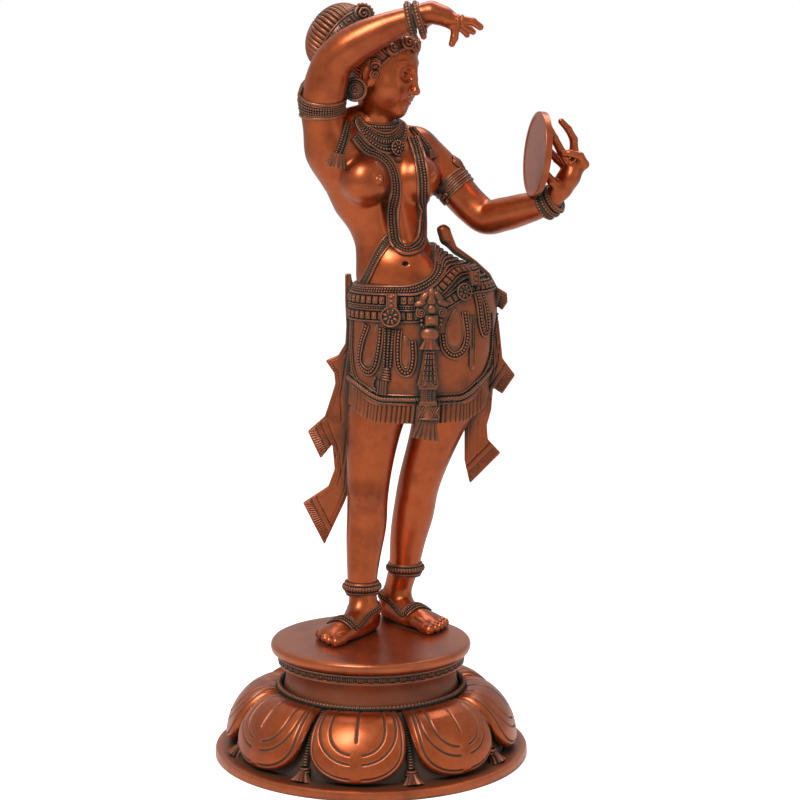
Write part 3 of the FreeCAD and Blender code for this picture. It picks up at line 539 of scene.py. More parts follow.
def softBox(name, place, size, power):
    data = bpy.data.lights.new(name, "AREA")
    data.shape = "RECTANGLE"
    data.size, data.size_y = size
    data.energy = power
    lamp = bpy.data.objects.new(name, data)
    bpy.context.collection.objects.link(lamp)
    lamp.location = place
    lamp.rotation_euler = (Vector(studio["aim"]) - Vector(place)).to_track_quat("-Z", "Y").to_euler()


softBox("keyLight", (-0.9, -1.5, 2.4), (0.8, 1.3), studio["keyPower"])
softBox("fillLight", (1.8, -1.2, 0.9), (1.0, 1.6), studio["fillPower"])
softBox("topLight", (0.2, 0.9, 2.0), (1.4, 0.9), studio["rimPower"])

deselectAll()
bpy.ops.mesh.primitive_plane_add(size=studio["floorHalf"] * 2, location=(0, 0, 0))
floor = bpy.context.object
floor.name = "floor"
floorMaterial = bpy.data.materials.new("floorPalePaper")
floorTree = emptyTree(floorMaterial)
floorPath = addNode(floorTree, "ShaderNodeLightPath")
paper = addNode(floorTree, "ShaderNodeBsdfDiffuse", Color=linear("#F4F4F4"))
glowWhite = addNode(floorTree, "ShaderNodeEmission", Color=(1, 1, 1, 1), Strength=studio["floorGlow"])
both = addNode(floorTree, "ShaderNodeAddShader", links=[(0, paper.outputs[0]), (1, glowWhite.outputs[0])])
eyeOnly = addNode(floorTree, "ShaderNodeMixShader", links=[(0, floorPath.outputs["Is Camera Ray"]),
    (1, paper.outputs[0]), (2, both.outputs[0])])
addNode(floorTree, "ShaderNodeOutputMaterial", links=[("Surface", eyeOnly.outputs[0])])
floor.data.materials.append(floorMaterial)
deselectAll()
print("camera, light and floor ready")


# ---- base
def turned(name, outline, sides=192):   # a lathe piece: a ring is drawn out and resized from stage to stage
    deselectAll()
    radius, height = outline[0]
    bpy.ops.mesh.primitive_circle_add(vertices=sides, radius=radius * mm, location=(0, 0, height * mm),
        fill_type="NOTHING")
    obj = bpy.context.object
    obj.name = obj.data.name = name
    bpy.ops.object.mode_set(mode="EDIT")
    bpy.ops.mesh.select_all(action="SELECT")
    for r, z in outline[1:]:
        bpy.ops.mesh.extrude_region_move(TRANSFORM_OT_translate={"value": (0, 0, (z - height) * mm)})
        scale = r / radius
        bpy.ops.transform.resize(value=(scale, scale, 1), center_override=(0, 0, z * mm))
        radius, height = r, z
    bpy.ops.mesh.select_all(action="SELECT")
    bpy.ops.mesh.remove_doubles(threshold=0.00001)
    bpy.ops.mesh.select_all(action="DESELECT")
    bpy.ops.mesh.select_non_manifold()
    bpy.ops.mesh.fill_holes(sides=0)
    bpy.ops.mesh.select_all(action="SELECT")
    bpy.ops.mesh.normals_make_consistent(inside=False)
    bpy.ops.object.mode_set(mode="OBJECT")
    bpy.ops.object.transform_apply(location=True, rotation=True, scale=True)
    return obj


def arcOutline(a, middle, b, steps):   # stages along the arc through three places of a lathe outline
    ax, ay, bx, by, cx, cy = *a, *middle, *b
    d = 2 * (ax * (by - cy) + bx * (cy - ay) + cx * (ay - by))
    ux = ((ax**2 + ay**2) * (by - cy) + (bx**2 + by**2) * (cy - ay) + (cx**2 + cy**2) * (ay - by)) / d
    uy = ((ax**2 + ay**2) * (cx - bx) + (bx**2 + by**2) * (ax - cx) + (cx**2 + cy**2) * (bx - ax)) / d
    r = hypot(ax - ux, ay - uy)
    a0, am, a1 = (atan2(y - uy, x - ux) for x, y in (a, middle, b))
    turn = (a1 - a0 + pi) % (2 * pi) - pi
    if abs(((am - a0 + pi) % (2 * pi) - pi)) > abs(turn) + 1e-6:
        turn -= copysign(2 * pi, turn)
    return [(ux + r * cos(a0 + turn * i / steps), uy + r * sin(a0 + turn * i / steps))
        for i in range(steps + 1)]


def sweepNoise(obj, amount, waves, seed):   # the slight unevenness of a hand-finished casting
    phases = np.random.default_rng(seed).uniform(0, 2 * pi, (len(waves), 2))
    for vertex in obj.data.vertices:
        a = atan2(vertex.co.y, vertex.co.x)
        z = vertex.co.z / mm
        lift = sum(sin(a * k + p + z * 0.06) / (i + 1) for i, (k, (p, _)) in enumerate(zip(waves, phases)))
        scale = 1 + amount * lift / max(hypot(vertex.co.x, vertex.co.y) / mm, 1)
        if vertex.co.z > 0.0005:
            vertex.co.x *= scale
            vertex.co.y *= scale


def waxAndShadeOver(obj, amount):   # amount(radius, height) in millimetres: 0 bare metal, 1 fully darkened, by wax in some places and by painted shade in others
    wax = obj.data.attributes.new("waxAndShade", "FLOAT", "POINT")
    for vertex, value in zip(obj.data.vertices, wax.data):
        value.value = amount(hypot(vertex.co.x, vertex.co.y) / mm, vertex.co.z / mm)


baseSize = {"rim": 144.0, "rimHeight": 9.0, "mouth": 118.0, "domeFoot": 123.0, "domeBelly": (111.0, 38.0),
    "neck": (85.0, 62.0), "wall": 6.0, "drumWaist": 78.5, "drumTop": 87.0, "bandTop": 96.0,
    "plinthTop": 107.0}
b = baseSize
dome = arcOutline((b["domeFoot"], b["rimHeight"]), b["domeBelly"], b["neck"], 14)
lining = arcOutline((b["neck"][0] - b["wall"], b["neck"][1] - b["wall"]), (b["domeBelly"][0] - b["wall"],
    b["domeBelly"][1] - b["wall"]), (b["mouth"] - 2, b["rimHeight"]), 10)
lotusBase = turned("lotusBase", [(6, b["neck"][1] - b["wall"]), (5.6, b["neck"][1] - b["wall"]),
    (5.6, b["neck"][1]), (6, b["neck"][1])] + dome[::-1] + [(b["rim"] - 7, 8.6), (b["rim"] - 3, 8.9),
    (b["rim"] - 1, 8.2), (b["rim"] - 0.2, 6.6), (b["rim"], 4.4), (b["rim"], 1.0), (b["rim"] - 0.8, 0),
    (b["mouth"] + 1, 0), (b["mouth"], 1)] + lining[::-1])
sweepNoise(lotusBase, 0.25, (2, 3, 5, 9), 3)
waxAndShadeOver(lotusBase, lambda r, z: 0.88 * min(max((138.5 - r) / 2.5, 0), 1) if z > 7.5
    else 0.0)   # ground between the petals
settle(lotusBase, ["lotus_base"], 35)

petalLook = {"count": 8, "phase": -6.0, "halfWidth": (31.0, 43.0, 40.0), "waist": 0.62, "proud": 5.5,
    "edge": 6.5, "crown": 3.5, "corner": 0.42, "border": 4.6, "loops": ((0.79, 0.33, 0.78),
    (0.56, 0.365, 0.685)), "middleLine": 0.57, "grooveWidth": 1.3,
    "grooveDepth": 1.5}   # each loop: share of the width, where it bends, its foot


def lotusPetal(name, turn, rows=150, columns=150):
    look = petalLook
    profile = np.array(arcOutline((85.5, 62.5), (117.5, 43.0), (125.5, 11.5), 200))
    run = np.concatenate([[0], np.cumsum(np.hypot(*np.diff(profile, axis=0).T))])
    total = run[-1]
    s, t = np.meshgrid(np.linspace(-1, 1, columns), np.linspace(0, 1, rows), indexing="xy")
    s = np.sign(s) * (1 - (1 - np.abs(s)) ** 1.12)

    def footAt(s):   # how far down the petal's foot reaches at s
        return 1 - look["corner"] * (1 - (1 - np.abs(s) ** 2.6) ** (1 / 2.6))
    t = t * footAt(s)
    top, belly, low = look["halfWidth"]
    waist = look["waist"]

    def halfAt(t):   # half width from the top (0) to the foot (1), widest at the waist
        swell = (belly - top) * np.sin(np.clip(t / waist, 0, 1) * pi / 2)
        return top + swell + (low - belly) * np.clip((t - waist) / (1 - waist), 0, 1) ** 2
    half = halfAt(t)
    along = t * total
    radius, height = np.interp(along, run, profile[:, 0]), np.interp(along, run, profile[:, 1])
    slope = np.gradient(profile, axis=0)
    slope /= np.linalg.norm(slope, axis=1)[:, None]
    outR, outZ = np.interp(along, run, -slope[:, 1]), np.interp(along, run, slope[:, 0])
    across = s * half
    # distance in from the petal's outline, measured on the unrolled petal
    edgeS = np.sin(np.linspace(-pi / 2, pi / 2, 600))
    edgeT = footAt(edgeS)
    sideT = np.linspace(0, 1 - look["corner"], 120)
    rim = np.vstack([np.stack([sign * halfAt(t), t * total], axis=1) for sign, t in ((-1, sideT), (1, sideT),
        (edgeS, edgeT))])
    flat = np.stack([across.ravel(), along.ravel()], axis=1)
    inset = np.array([np.sqrt(((rim - p) ** 2).sum(1).min()) for p in flat]).reshape(s.shape)
    lift = look["proud"] * np.sqrt(1 - (1 - np.clip(inset / look["edge"], 0, 1)) ** 2) + look["crown"] * (1
        - s ** 2) * np.clip(t * 3, 0, 1)

    def groove(distance, fade=1.0):
        return fade * np.exp(-(distance / (look["grooveWidth"] * 0.6)) ** 2)
    gap = np.clip((np.abs(across) - 4.0) / 1.5, 0, 1)   # every line stops short of the petal's middle
    engraved = groove(inset - look["border"], gap)
    for wide, bend, foot in look["loops"]:   # open loops running up under the drum
        fall = np.clip((t - bend) / (foot - bend), 0, None)
        level = ((np.abs(s) / wide) ** 2.4 + fall ** 2.4) ** (1 / 2.4) - 1
        engraved = np.maximum(engraved, groove(level * wide * half, gap))
    engraved = np.maximum(engraved, groove(across, np.clip((look["middleLine"] - t) / 0.03, 0, 1)))
    lift = lift * (0.12 + 0.88 * np.sin(np.clip(t / 0.24, 0, 1) * pi / 2)) - look["grooveDepth"] * engraved
    angle = across / radius
    r = radius + outR * lift
    z = height + outZ * lift
    a = radians(turn - 90) + angle
    points = np.stack([r * np.cos(a), r * np.sin(a), z], axis=-1).reshape(-1, 3)
    faces = gridFaces(rows, columns)
    # a hidden back closes the petal inside the dome
    backR, backZ = radius - outR * 1.5, height - outZ * 1.5
    back = np.stack([backR * np.cos(a), backR * np.sin(a), backZ], axis=-1).reshape(-1, 3)
    count = len(points)
    ring = list(range(columns)) + [i * columns + columns - 1 for i in range(1, rows)]
    ring += [(rows - 1) * columns + j for j in range(columns - 2, -1, -1)] + [i * columns
        for i in range(rows - 2, 0, -1)]
    points = np.vstack([points, back[ring]])
    faces += [(ring[(k + 1) % len(ring)], ring[k], count + k, count + (k + 1) % len(ring))
        for k in range(len(ring))]
    faces.append(tuple(count + k for k in range(len(ring)))[::-1])
    obj = meshPiece(name, points, faces)
    wax = obj.data.attributes.new("waxAndShade", "FLOAT", "POINT")
    wax.data.foreach_set("value", np.concatenate([engraved.ravel(), np.zeros(len(ring))]).astype(np.float32))
    makeActive(obj)
    bpy.ops.object.mode_set(mode="EDIT")
    bpy.ops.mesh.select_all(action="SELECT")
    bpy.ops.mesh.normals_make_consistent(inside=False)
    bpy.ops.object.mode_set(mode="OBJECT")
    return settle(obj, ["lotus_petals"])


firstPetal = lotusPetal("lotusPetal0", petalLook["phase"])
for i in range(1, petalLook["count"]):
    petal = firstPetal.copy()
    petal.data = firstPetal.data.copy()
    petal.name = petal.data.name = f"lotusPetal{i}"
    petal.data.transform(Matrix.Rotation(radians(360 / petalLook["count"] * i), 4, "Z"))
    bpy.context.collection.objects.link(petal)
    settle(petal, ["lotus_petals"])

tassels = Parts()
for i in range(8):
    a = radians(petalLook["phase"] + 22.5 + 45 * i - 90)
    outward = np.array([cos(a), sin(a), 0.0])
    spine = np.array(arcOutline((88, 60), (113.5, 38), (121.5, 20), 30))
    places = [outward * r + up * z for r, z in spine]
    normals = [unit(outward + up * n) for n in np.linspace(1.0, 0.2, len(places))]
    line = Line(places, normals)
    addStrap(tassels, line, 5.2, 0.6, sink=4.0)
    for place, axes in line.evenly(2.5):
        addBall(tassels, place + axes[:, 2] * 1.1, (1.15, 3.3, 2.1), axes)
    foot = outward * 122 + up * 19
    for step, wide in ((0.0, 4.4), (2.6, 5.0)):
        addTube(tassels, [foot - up * step + outward + wide * (outward * cos(t) * 0.7 + np.cross(up, outward)
            * sin(t)) for t in evenTurns(20)], 1.1, 6, closed=True)
    addFringe(tassels, foot - up * 1.5, outward * 129.5 + up * 8.6, outward * 0.6 + up * 0.25, 7.5, 19.0,
        11.0, 11)
tassels.piece("petalTassels", 50)

ringBeads = Parts()
ringLine = Line([(84.6 * cos(t), 84.6 * sin(t), 64.8) for t in evenTurns(180)], [unit((cos(t), sin(t), 0.9))
    for t in evenTurns(180)], closed=True)
addTube(ringBeads, ringLine.places, 2.7, 8, closed=True)
addStuds(ringBeads, ringLine, (1.55, 3.2, 3.1), 3.5, 0.5)
ringBeads.piece("lowerBeadRing", 50)

drum = turned("pedestalDrum", [(6, 62.2), (80.6, 62.2), (80.8, 63), (80.3, 66)] + arcOutline((80.0, 67),
    (b["drumWaist"], 75), (80.2, 84), 8) + [(81, b["drumTop"]), (81, b["bandTop"] - 0.2),
    (6, b["bandTop"] - 0.2)])
sweepNoise(drum, 0.35, (3, 5, 7), 8)
# painted shade: the whole drum is darkened because it lies in shade under the plinth's overhang
waxAndShadeOver(drum, lambda r, z: 0.42)
settle(drum, ["pedestal_drum"], 40)

band = Parts()
around = evenTurns(200)
for r, z, radius in ((84.6, 87.4, 1.2), (86.4, 95.0, 1.3)):
    addTube(band, np.stack([r * np.cos(around), r * np.sin(around), np.full(200, z)], 1), radius, 7,
        closed=True)
bandFaceLine = Line(np.stack([84.2 * np.cos(around), 84.2 * np.sin(around), np.full(200, 91.4)], 1),
    np.stack([np.cos(around), np.sin(around), np.full(200, -0.12)], 1), closed=True)
addStrap(band, bandFaceLine, 7.4, 0.7, sink=3.5, arch=0.0)
for place, axes in bandFaceLine.evenly(9.4):   # framed four-petal tiles and bars between them
    for sx, sy, hx, hy in ((0, 2.5, 2.6, 0.42), (0, -2.5, 2.6, 0.42), (2.4, 0, 0.42, 2.6),
            (-2.4, 0, 0.42, 2.6)):
        addBlock(band, place + axes @ np.array((sx, sy, 1.2)), (hx, hy, 0.75), axes)
    addBall(band, place + axes[:, 2] * 1.2, (1.0, 1.0, 0.9), axes)
    for sx, sy in ((1, 1), (-1, 1), (-1, -1), (1, -1)):
        addBall(band, place + axes @ np.array((0.884 * sx, 0.884 * sy, 1.1)), (0.62, 0.62, 0.6), axes)
    for side in (-4.0, 4.0):
        addBlock(band, place + axes @ np.array((side, 0, 1.1)), (0.42, 2.5, 0.7), axes)
band.piece("rosetteBand", 50)

plinth = turned("plinth", [(6, 96.05), (86.5, 96.05), (88.6, 96.6), (90.6, 98.2), (91.6, 100.6),
    (91.9, 103.0), (91.4, 105.2), (90.2, 106.5), (88.6, 107.0), (80, 107), (60, 107), (30, 107), (8, 107)])
sweepNoise(plinth, 0.4, (3, 5, 8, 13), 5)
settle(plinth, ["plinth"], 40)
print("base ready")

# ---- figure: clay fields, in millimetres, meshed where the field is zero
class Clay:
    def __init__(self, low, high, step):
        self.low, self.step = np.array(low, float), step
        self.axes = [np.arange(a, b + step, step, dtype=np.float32) for a, b in zip(low, high)]
        self.field = np.full([len(a) for a in self.axes], 30.0, np.float32)

    def patch(self, low, high):
        cuts, parts = [], []
        for k in range(3):
            i = np.searchsorted(self.axes[k], low[k] - 14)
            j = max(np.searchsorted(self.axes[k], high[k] + 14), i + 1)
            cuts.append(slice(i, j))
            shape = [1, 1, 1]
            shape[k] = -1
            parts.append(self.axes[k][i:j].reshape(shape))
        return tuple(cuts), parts

    def blend(self, cuts, d, soft, remove=False):
        old = -self.field[cuts] if remove else self.field[cuts]
        if soft > 0:
            h = np.maximum(soft - np.abs(old - d), 0) / soft
            new = np.minimum(old, d) - h * h * soft * 0.25
        else:
            new = np.minimum(old, d)
        self.field[cuts] = -new if remove else new

    def ball(self, centre, radii, soft=0.0, axes=None,
            remove=False):   # an ellipsoid; axes holds its directions as columns
        radii = np.broadcast_to(np.asarray(radii, float), (3,))
        centre, reach = np.asarray(centre, float), max(radii)
        cuts, (x, y, z) = self.patch(centre - reach, centre + reach)
        x, y, z = x - centre[0], y - centre[1], z - centre[2]
        if axes is not None:
            a = np.asarray(axes)
            x, y, z = (a[0, k] * x + a[1, k] * y + a[2, k] * z for k in range(3))
        near = np.sqrt((x / radii[0]) ** 2 + (y / radii[1]) ** 2 + (z / radii[2]) ** 2) + 1e-6
        steep = np.sqrt((x / radii[0] ** 2) ** 2 + (y / radii[1] ** 2) ** 2 + (z / radii[2] ** 2) ** 2) + 1e-6
        self.blend(cuts, (near * (near - 1) / steep).astype(np.float32), soft, remove)

    def bone(self, a, b, ra, rb, soft=0.0, remove=False):   # a round bar that tapers
        a, b = np.asarray(a, float), np.asarray(b, float)
        reach = max(ra, rb)
        cuts, (x, y, z) = self.patch(np.minimum(a, b) - reach, np.maximum(a, b) + reach)
        ab = b - a
        t = ((x - a[0]) * ab[0] + (y - a[1]) * ab[1] + (z - a[2]) * ab[2]) / max(ab @ ab, 1e-9)
        t = np.clip(t, 0, 1)
        d = np.sqrt((x - a[0] - ab[0] * t) ** 2 + (y - a[1] - ab[1] * t) ** 2
            + (z - a[2] - ab[2] * t) ** 2) - (ra + (rb - ra) * t)
        self.blend(cuts, d.astype(np.float32), soft, remove)

    def bones(self, stations, soft=0.0, joint=4.0, remove=False):   # (x, y, z, radius) one after another
        for i, (a, b) in enumerate(zip(stations, stations[1:])):
            self.bone(a[:3], b[:3], a[3], b[3], soft if i == 0 else joint, remove)

    def limb(self, stations, soft=0.0, steps=7):   # one smooth bar through (x, y, z, radius) stations
        s = np.array(stations, float)
        run = np.concatenate([[0], np.cumsum(np.linalg.norm(np.diff(s[:, :3], axis=0), axis=1))])
        wanted = np.linspace(0, run[-1], steps * (len(s) - 1) + 1)
        s = np.stack([easedTable(run, s[:, k], wanted) for k in range(4)], axis=1)
        whole, self.field = self.field, np.full_like(self.field, 30.0)
        for a, b in zip(s, s[1:]):
            self.bone(a[:3], b[:3], a[3], b[3], 0.8)
        alone, self.field = self.field, whole
        self.blend(slice(None), alone, soft)

    def keepAbove(self, normal, place):   # cuts off what lies below a plane
        normal = unit(normal)
        x, y, z = (self.axes[k].reshape([-1 if k == j else 1 for j in range(3)]) for k in range(3))
        d = (x - place[0]) * normal[0] + (y - place[1]) * normal[1] + (z - place[2]) * normal[2]
        self.field = np.maximum(self.field, -d.astype(np.float32))

    def mesh(self):
        self.field[0], self.field[-1] = 5, 5
        self.field[:, 0], self.field[:, -1] = 5, 5
        self.field[:, :, 0], self.field[:, :, -1] = 5, 5
        grid = openvdb.FloatGrid(5.0)
        grid.copyFromArray(np.clip(self.field, -5, 5))
        grid.transform = openvdb.createLinearTransform(1.0)
        points, quads = grid.convertToQuads(0.0)
        return points * self.step + self.low, quads

    def piece(self, name, nodes=None, reshape=None, relax=0):
        points, quads = self.mesh()
        if reshape is not None:
            points = reshape(points)
        obj = meshPiece(name, points, quads.tolist())
        if relax:
            makeActive(obj)
            smooth = obj.modifiers.new("handSmoothing", "SMOOTH")
            smooth.factor, smooth.iterations = 0.5, relax
            bpy.ops.object.modifier_apply(modifier=smooth.name)
        print(name, len(obj.data.polygons), "faces")
        return settle(obj, nodes or [nodeNamed(name)])


def easedTable(places, values, wanted):   # a smooth curve through a station table
    places, values = np.asarray(places, float), np.asarray(values, float)
    slopes = np.gradient(values, places)
    i = np.clip(np.searchsorted(places, wanted) - 1, 0, len(places) - 2)
    span = places[i + 1] - places[i]
    t = np.clip((wanted - places[i]) / span, 0, 1)
    return ((1 + 2 * t) * (1 - t) ** 2 * values[i] + t * (1 - t) ** 2 * span * slopes[i] + t * t
        * (3 - 2 * t) * values[i + 1] + t * t * (t - 1) * span * slopes[i + 1])


# height: centre x, centre y, half width, half depth, turn towards the viewer's right
trunkStations = {300: (44, 48, 56, 40, 6), 322: (44.5, 48, 57.5, 42, 8), 350: (45.5, 49, 60, 45, 8),
 385: (47.5, 50, 63, 46, 8),
                 412: (49, 50, 63.5, 44, 9), 428: (47, 50, 60, 41, 10), 440: (40, 50, 54, 36, 13), 452: (30,
                  49, 44, 30, 16),
                 466: (21, 48, 36, 26, 20), 488: (14, 49, 38.5, 27, 25), 510: (10, 50, 43, 29, 30), 532: (8,
                  51, 46, 29, 30),
                 550: (6, 51, 42, 24, 30), 562: (5, 49, 32, 19, 33), 574: (4, 48, 18, 15, 40),
                  586: (5, 47, 15, 14.5, 45)}


def trunkAt(z):   # centre x, centre y, half width, half depth, turn at a height
    heights = sorted(trunkStations)
    return [easedTable(heights, [trunkStations[h][k] for h in heights], np.asarray(z, float))
        for k in range(5)]


def hipsAt(z):   # the same as plain numbers, the turn in radians
    cx, cy, hw, hd, turn = (float(value) for value in trunkAt(z))
    return cx, cy, hw, hd, radians(turn)


chestTurn = radians(30)
chestAhead = np.array([sin(chestTurn), -cos(chestTurn), 0.0])
chestAcross = np.array([cos(chestTurn), sin(chestTurn), 0.0])   # towards the figure's left

torso = Clay((-78, -22, 424), (106, 104, 612), 1.0)
cx, cy, hw, hd, turn = (a.astype(np.float32)[None, None, :] for a in trunkAt(torso.axes[2]))
turn = np.radians(turn)
gx, gy = torso.axes[0][:, None, None] - cx, torso.axes[1][None, :, None] - cy
u, v = gx * np.cos(turn) + gy * np.sin(turn), -gx * np.sin(turn) + gy * np.cos(turn)
near = np.sqrt((u / hw) ** 2 + (v / hd) ** 2) + 1e-5
torso.field = (near * (near - 1) / np.sqrt((u / hw ** 2) ** 2 + (v / hd ** 2) ** 2 + 1e-9)).astype(np.float32)
torso.field = np.maximum(torso.field, torso.axes[2][None, None, :] - 584)
chest = np.array([8.0, 50.0, 526.0])
armStations = {"rightUpper": [(-33, 29, 550, 20), (-41, 23, 575, 19.2), (-43.5, 19, 598, 19.2)],
               "rightFore": [(-43.5, 19, 592, 19.2), (-38, 12, 616, 19.0), (-33, 8, 630, 17.6),
                (-22, 4, 641, 17.2), (-2, 0, 653, 15.6),
                             (20, -4, 663, 12.6), (36, -7, 669, 10.2), (48, -8, 673, 9.4)],
               "leftUpper": [(46, 70, 550, 19), (63, 69, 534, 18.5), (82, 63, 513, 16.4)],
               "leftFore": [(79, 64, 516, 16.6), (94, 60, 500, 16.0), (106, 54, 491, 15.6),
                (122, 42, 494, 15.2), (140, 26, 500, 13.8),
                            (154, 13, 505, 11.6), (166, 5, 512, 9.6)]}
torso.limb(armStations["rightUpper"], 16)
torso.limb(armStations["leftUpper"], 14)
torso.bone((-36, 32, 552), (-18, 42, 508), 20, 15, soft=16)   # the stretched side under the raised arm
torso.bone((4, 50, 570), (-24, 36, 560), 12, 15, soft=14)
torso.bone((-2, 48, 580), (-27, 34, 576), 6, 9, soft=9)
torso.bone((2, 50, 590), (-22, 38, 581), 7, 8, soft=8)
torso.bone((6, 50, 570), (38, 66, 558), 12, 14, soft=14)
torso.bone((30, 62, 548), (24, 58, 508), 16, 14, soft=14)
for side, lift in ((-1, 0.0), (1, 1.0)):   # breasts, round and full, with small tips
    centre = chest + chestAcross * side * 27 + chestAhead * 21 + up * lift
    torso.ball(centre, 22.0, soft=7)
    ahead = unit(chestAhead + chestAcross * (0.22 + 0.08 * side) + up * 0.05)
    torso.ball(centre + ahead * 22.2, (4.4, 4.4, 1.6), soft=0.6, axes=basis(ahead, up))
    torso.ball(centre + ahead * 23.4, 2.3, soft=0.3)
torso.bone((15, 26, 506), (25, 22, 470), 3.0, 3.5, soft=12, remove=True)   # the soft line down the middle
torso.ball((31, 22, 447), (24, 10, 15), soft=14)   # belly
torso.ball((31.5, 12.8, 451.5), (2.9, 3.6, 2.0), soft=0.9, remove=True)   # navel
for side in (-1, 1):   # shoulder blades
    torso.ball(chest - chestAhead * 13 + chestAcross * side * 17 + up * 15, 15, soft=13)
torso.bone((-12, 82, 540), (4, 76, 470), 3, 3, soft=12, remove=True)   # spine
torso.keepAbove(up, (0, 0, 427))
trunk = torso.piece("trunkSkin", ["trunk"], relax=2)
skin = Surface([trunk])

for side, ankletHeight, stations in (
        ("right", 148, [(16, 44, 338, 30), (6, 42, 310, 26.5), (1, 41, 281, 23.2), (-3, 38, 232, 18.8),
         (-4, 38, 205, 18.2), (-6.5, 35, 182, 16.2),
                        (-8, 31, 160, 14.0), (-8.5, 30, 143, 13.2)]),
        ("left", 157, [(80, 48, 340, 30), (68, 51, 313, 26.5), (58, 53, 283, 22.4), (44, 58, 236, 19.2),
         (40, 60, 212, 18.8), (35.5, 63, 190, 17.0),
                       (32.5, 65, 168, 14.8), (30.5, 67.5, 150, 13.6)])):
    low = np.min([s[:3] for s in stations], axis=0) - 36
    high = np.max([s[:3] for s in stations], axis=0) + 36
    leg = Clay(low, high, 1.1)
    leg.limb(stations)
    knee, calf = np.array(stations[3][:3]), np.array(stations[5][:3])
    leg.ball(knee + np.array([0.0, -10.0, 3.0]), (10, 9, 13), soft=9)   # kneecap
    leg.ball(calf + np.array([0.0, 7.0, 14.0]), (11, 11, 24), soft=9)   # calf
    leg.keepAbove(up, (0, 0, ankletHeight - 3))
    leg.field = np.maximum(leg.field, leg.axes[2][None, None, :] - 318)
    leg.piece(f"{side}Leg", relax=2)

footLook = {"right": {"heel": (4, 38), "tip": (-47, -23), "bigToe": (0.77, -0.64), "ankle": (-8.3, 30, 151,
    13.4)}, "left": {"heel": (12, 85), "tip": (69, 18), "bigToe": (-0.754, -0.657),
    "ankle": (31.5, 66.5, 160, 14.0)}}
def footFrame(look):   # the heel's place, the axes (ahead, inward, up) and the length
    heel, tip = (np.array([*look[end], baseSize["plinthTop"]]) for end in ("heel", "tip"))
    ahead, inward = unit(tip - heel), unit((*look["bigToe"], 0.0))
    inward = unit(inward - ahead * (inward @ ahead))
    return heel, np.stack([ahead, inward, up], axis=1), np.linalg.norm(tip - heel)


for side, look in footLook.items():
    heel, axes, length = footFrame(look)
    middle = heel + axes[:, 0] * length / 2
    foot = Clay(middle - (60, 60, 1), middle + (60, 60, 60), 0.75)
    at = lambda *p: heel + axes @ np.array(p)
    foot.ball(at(11, 0, 10), (12, 11, 13), axes=axes)
    foot.bone(np.array(look["ankle"][:3]), at(17, 0, 20), look["ankle"][3], 12.5, soft=6)
    foot.bone(at(17, 0, 18), at(52, 2, 8), 12, 8.5, soft=9)
    foot.ball(at(53, 0, 6.5), (20, 18.0, 8.0), soft=8, axes=axes)
    foot.ball(at(34, 6, 8), (22, 9, 10), soft=8, axes=axes)
    for k in (-1, 1):
        foot.ball(at(15, k * 11, 22), (5.0, 4.0, 5.5), soft=5, axes=axes)   # ankle bones
    for i, (reach, radius) in enumerate(((length, 5.0), (length - 1, 4.2), (length - 4, 4.0),
            (length - 8, 3.8), (length - 13, 3.6))):
        s = 15.5 - i * 7.6 - (0.5 if i else 0)
        foot.bone(at(length - 26 - i * 2, s * 0.86, 6.6), at(reach - radius * 2.4, s, 5.2), radius * 0.92,
            radius, soft=2.2)
        foot.bone(at(reach - radius * 2.4, s, 4.6), at(reach - radius, s, 4.0), radius, radius * 0.95,
            soft=0.8)
        foot.ball(at(reach - radius * 0.9, s, 4.2 + radius * 0.86), (radius * 0.62, radius * 0.55, 0.9),
            soft=0.3, axes=axes)   # nail
    foot.keepAbove(up, (0, 0, baseSize["plinthTop"] + 0.05))
    foot.field = np.maximum(foot.field, foot.axes[2][None, None, :] - look["ankle"][2])
    foot.piece(f"{side}Foot")

for side, name in (("right", "rightFore"), ("left", "leftFore")):
    stations = armStations[name]
    arm = Clay(np.min([s[:3] for s in stations], axis=0) - 26, np.max([s[:3] for s in stations], axis=0)
        + 26, 0.9)
    arm.limb(stations)
    end = np.array(stations[-1][:3])
    arm.keepAbove(np.array(stations[1][:3]) - np.array(stations[0][:3]), stations[0][:3])
    arm.keepAbove(np.array(stations[-2][:3]) - end, end)
    arm.piece(f"{side}Arm", relax=2)

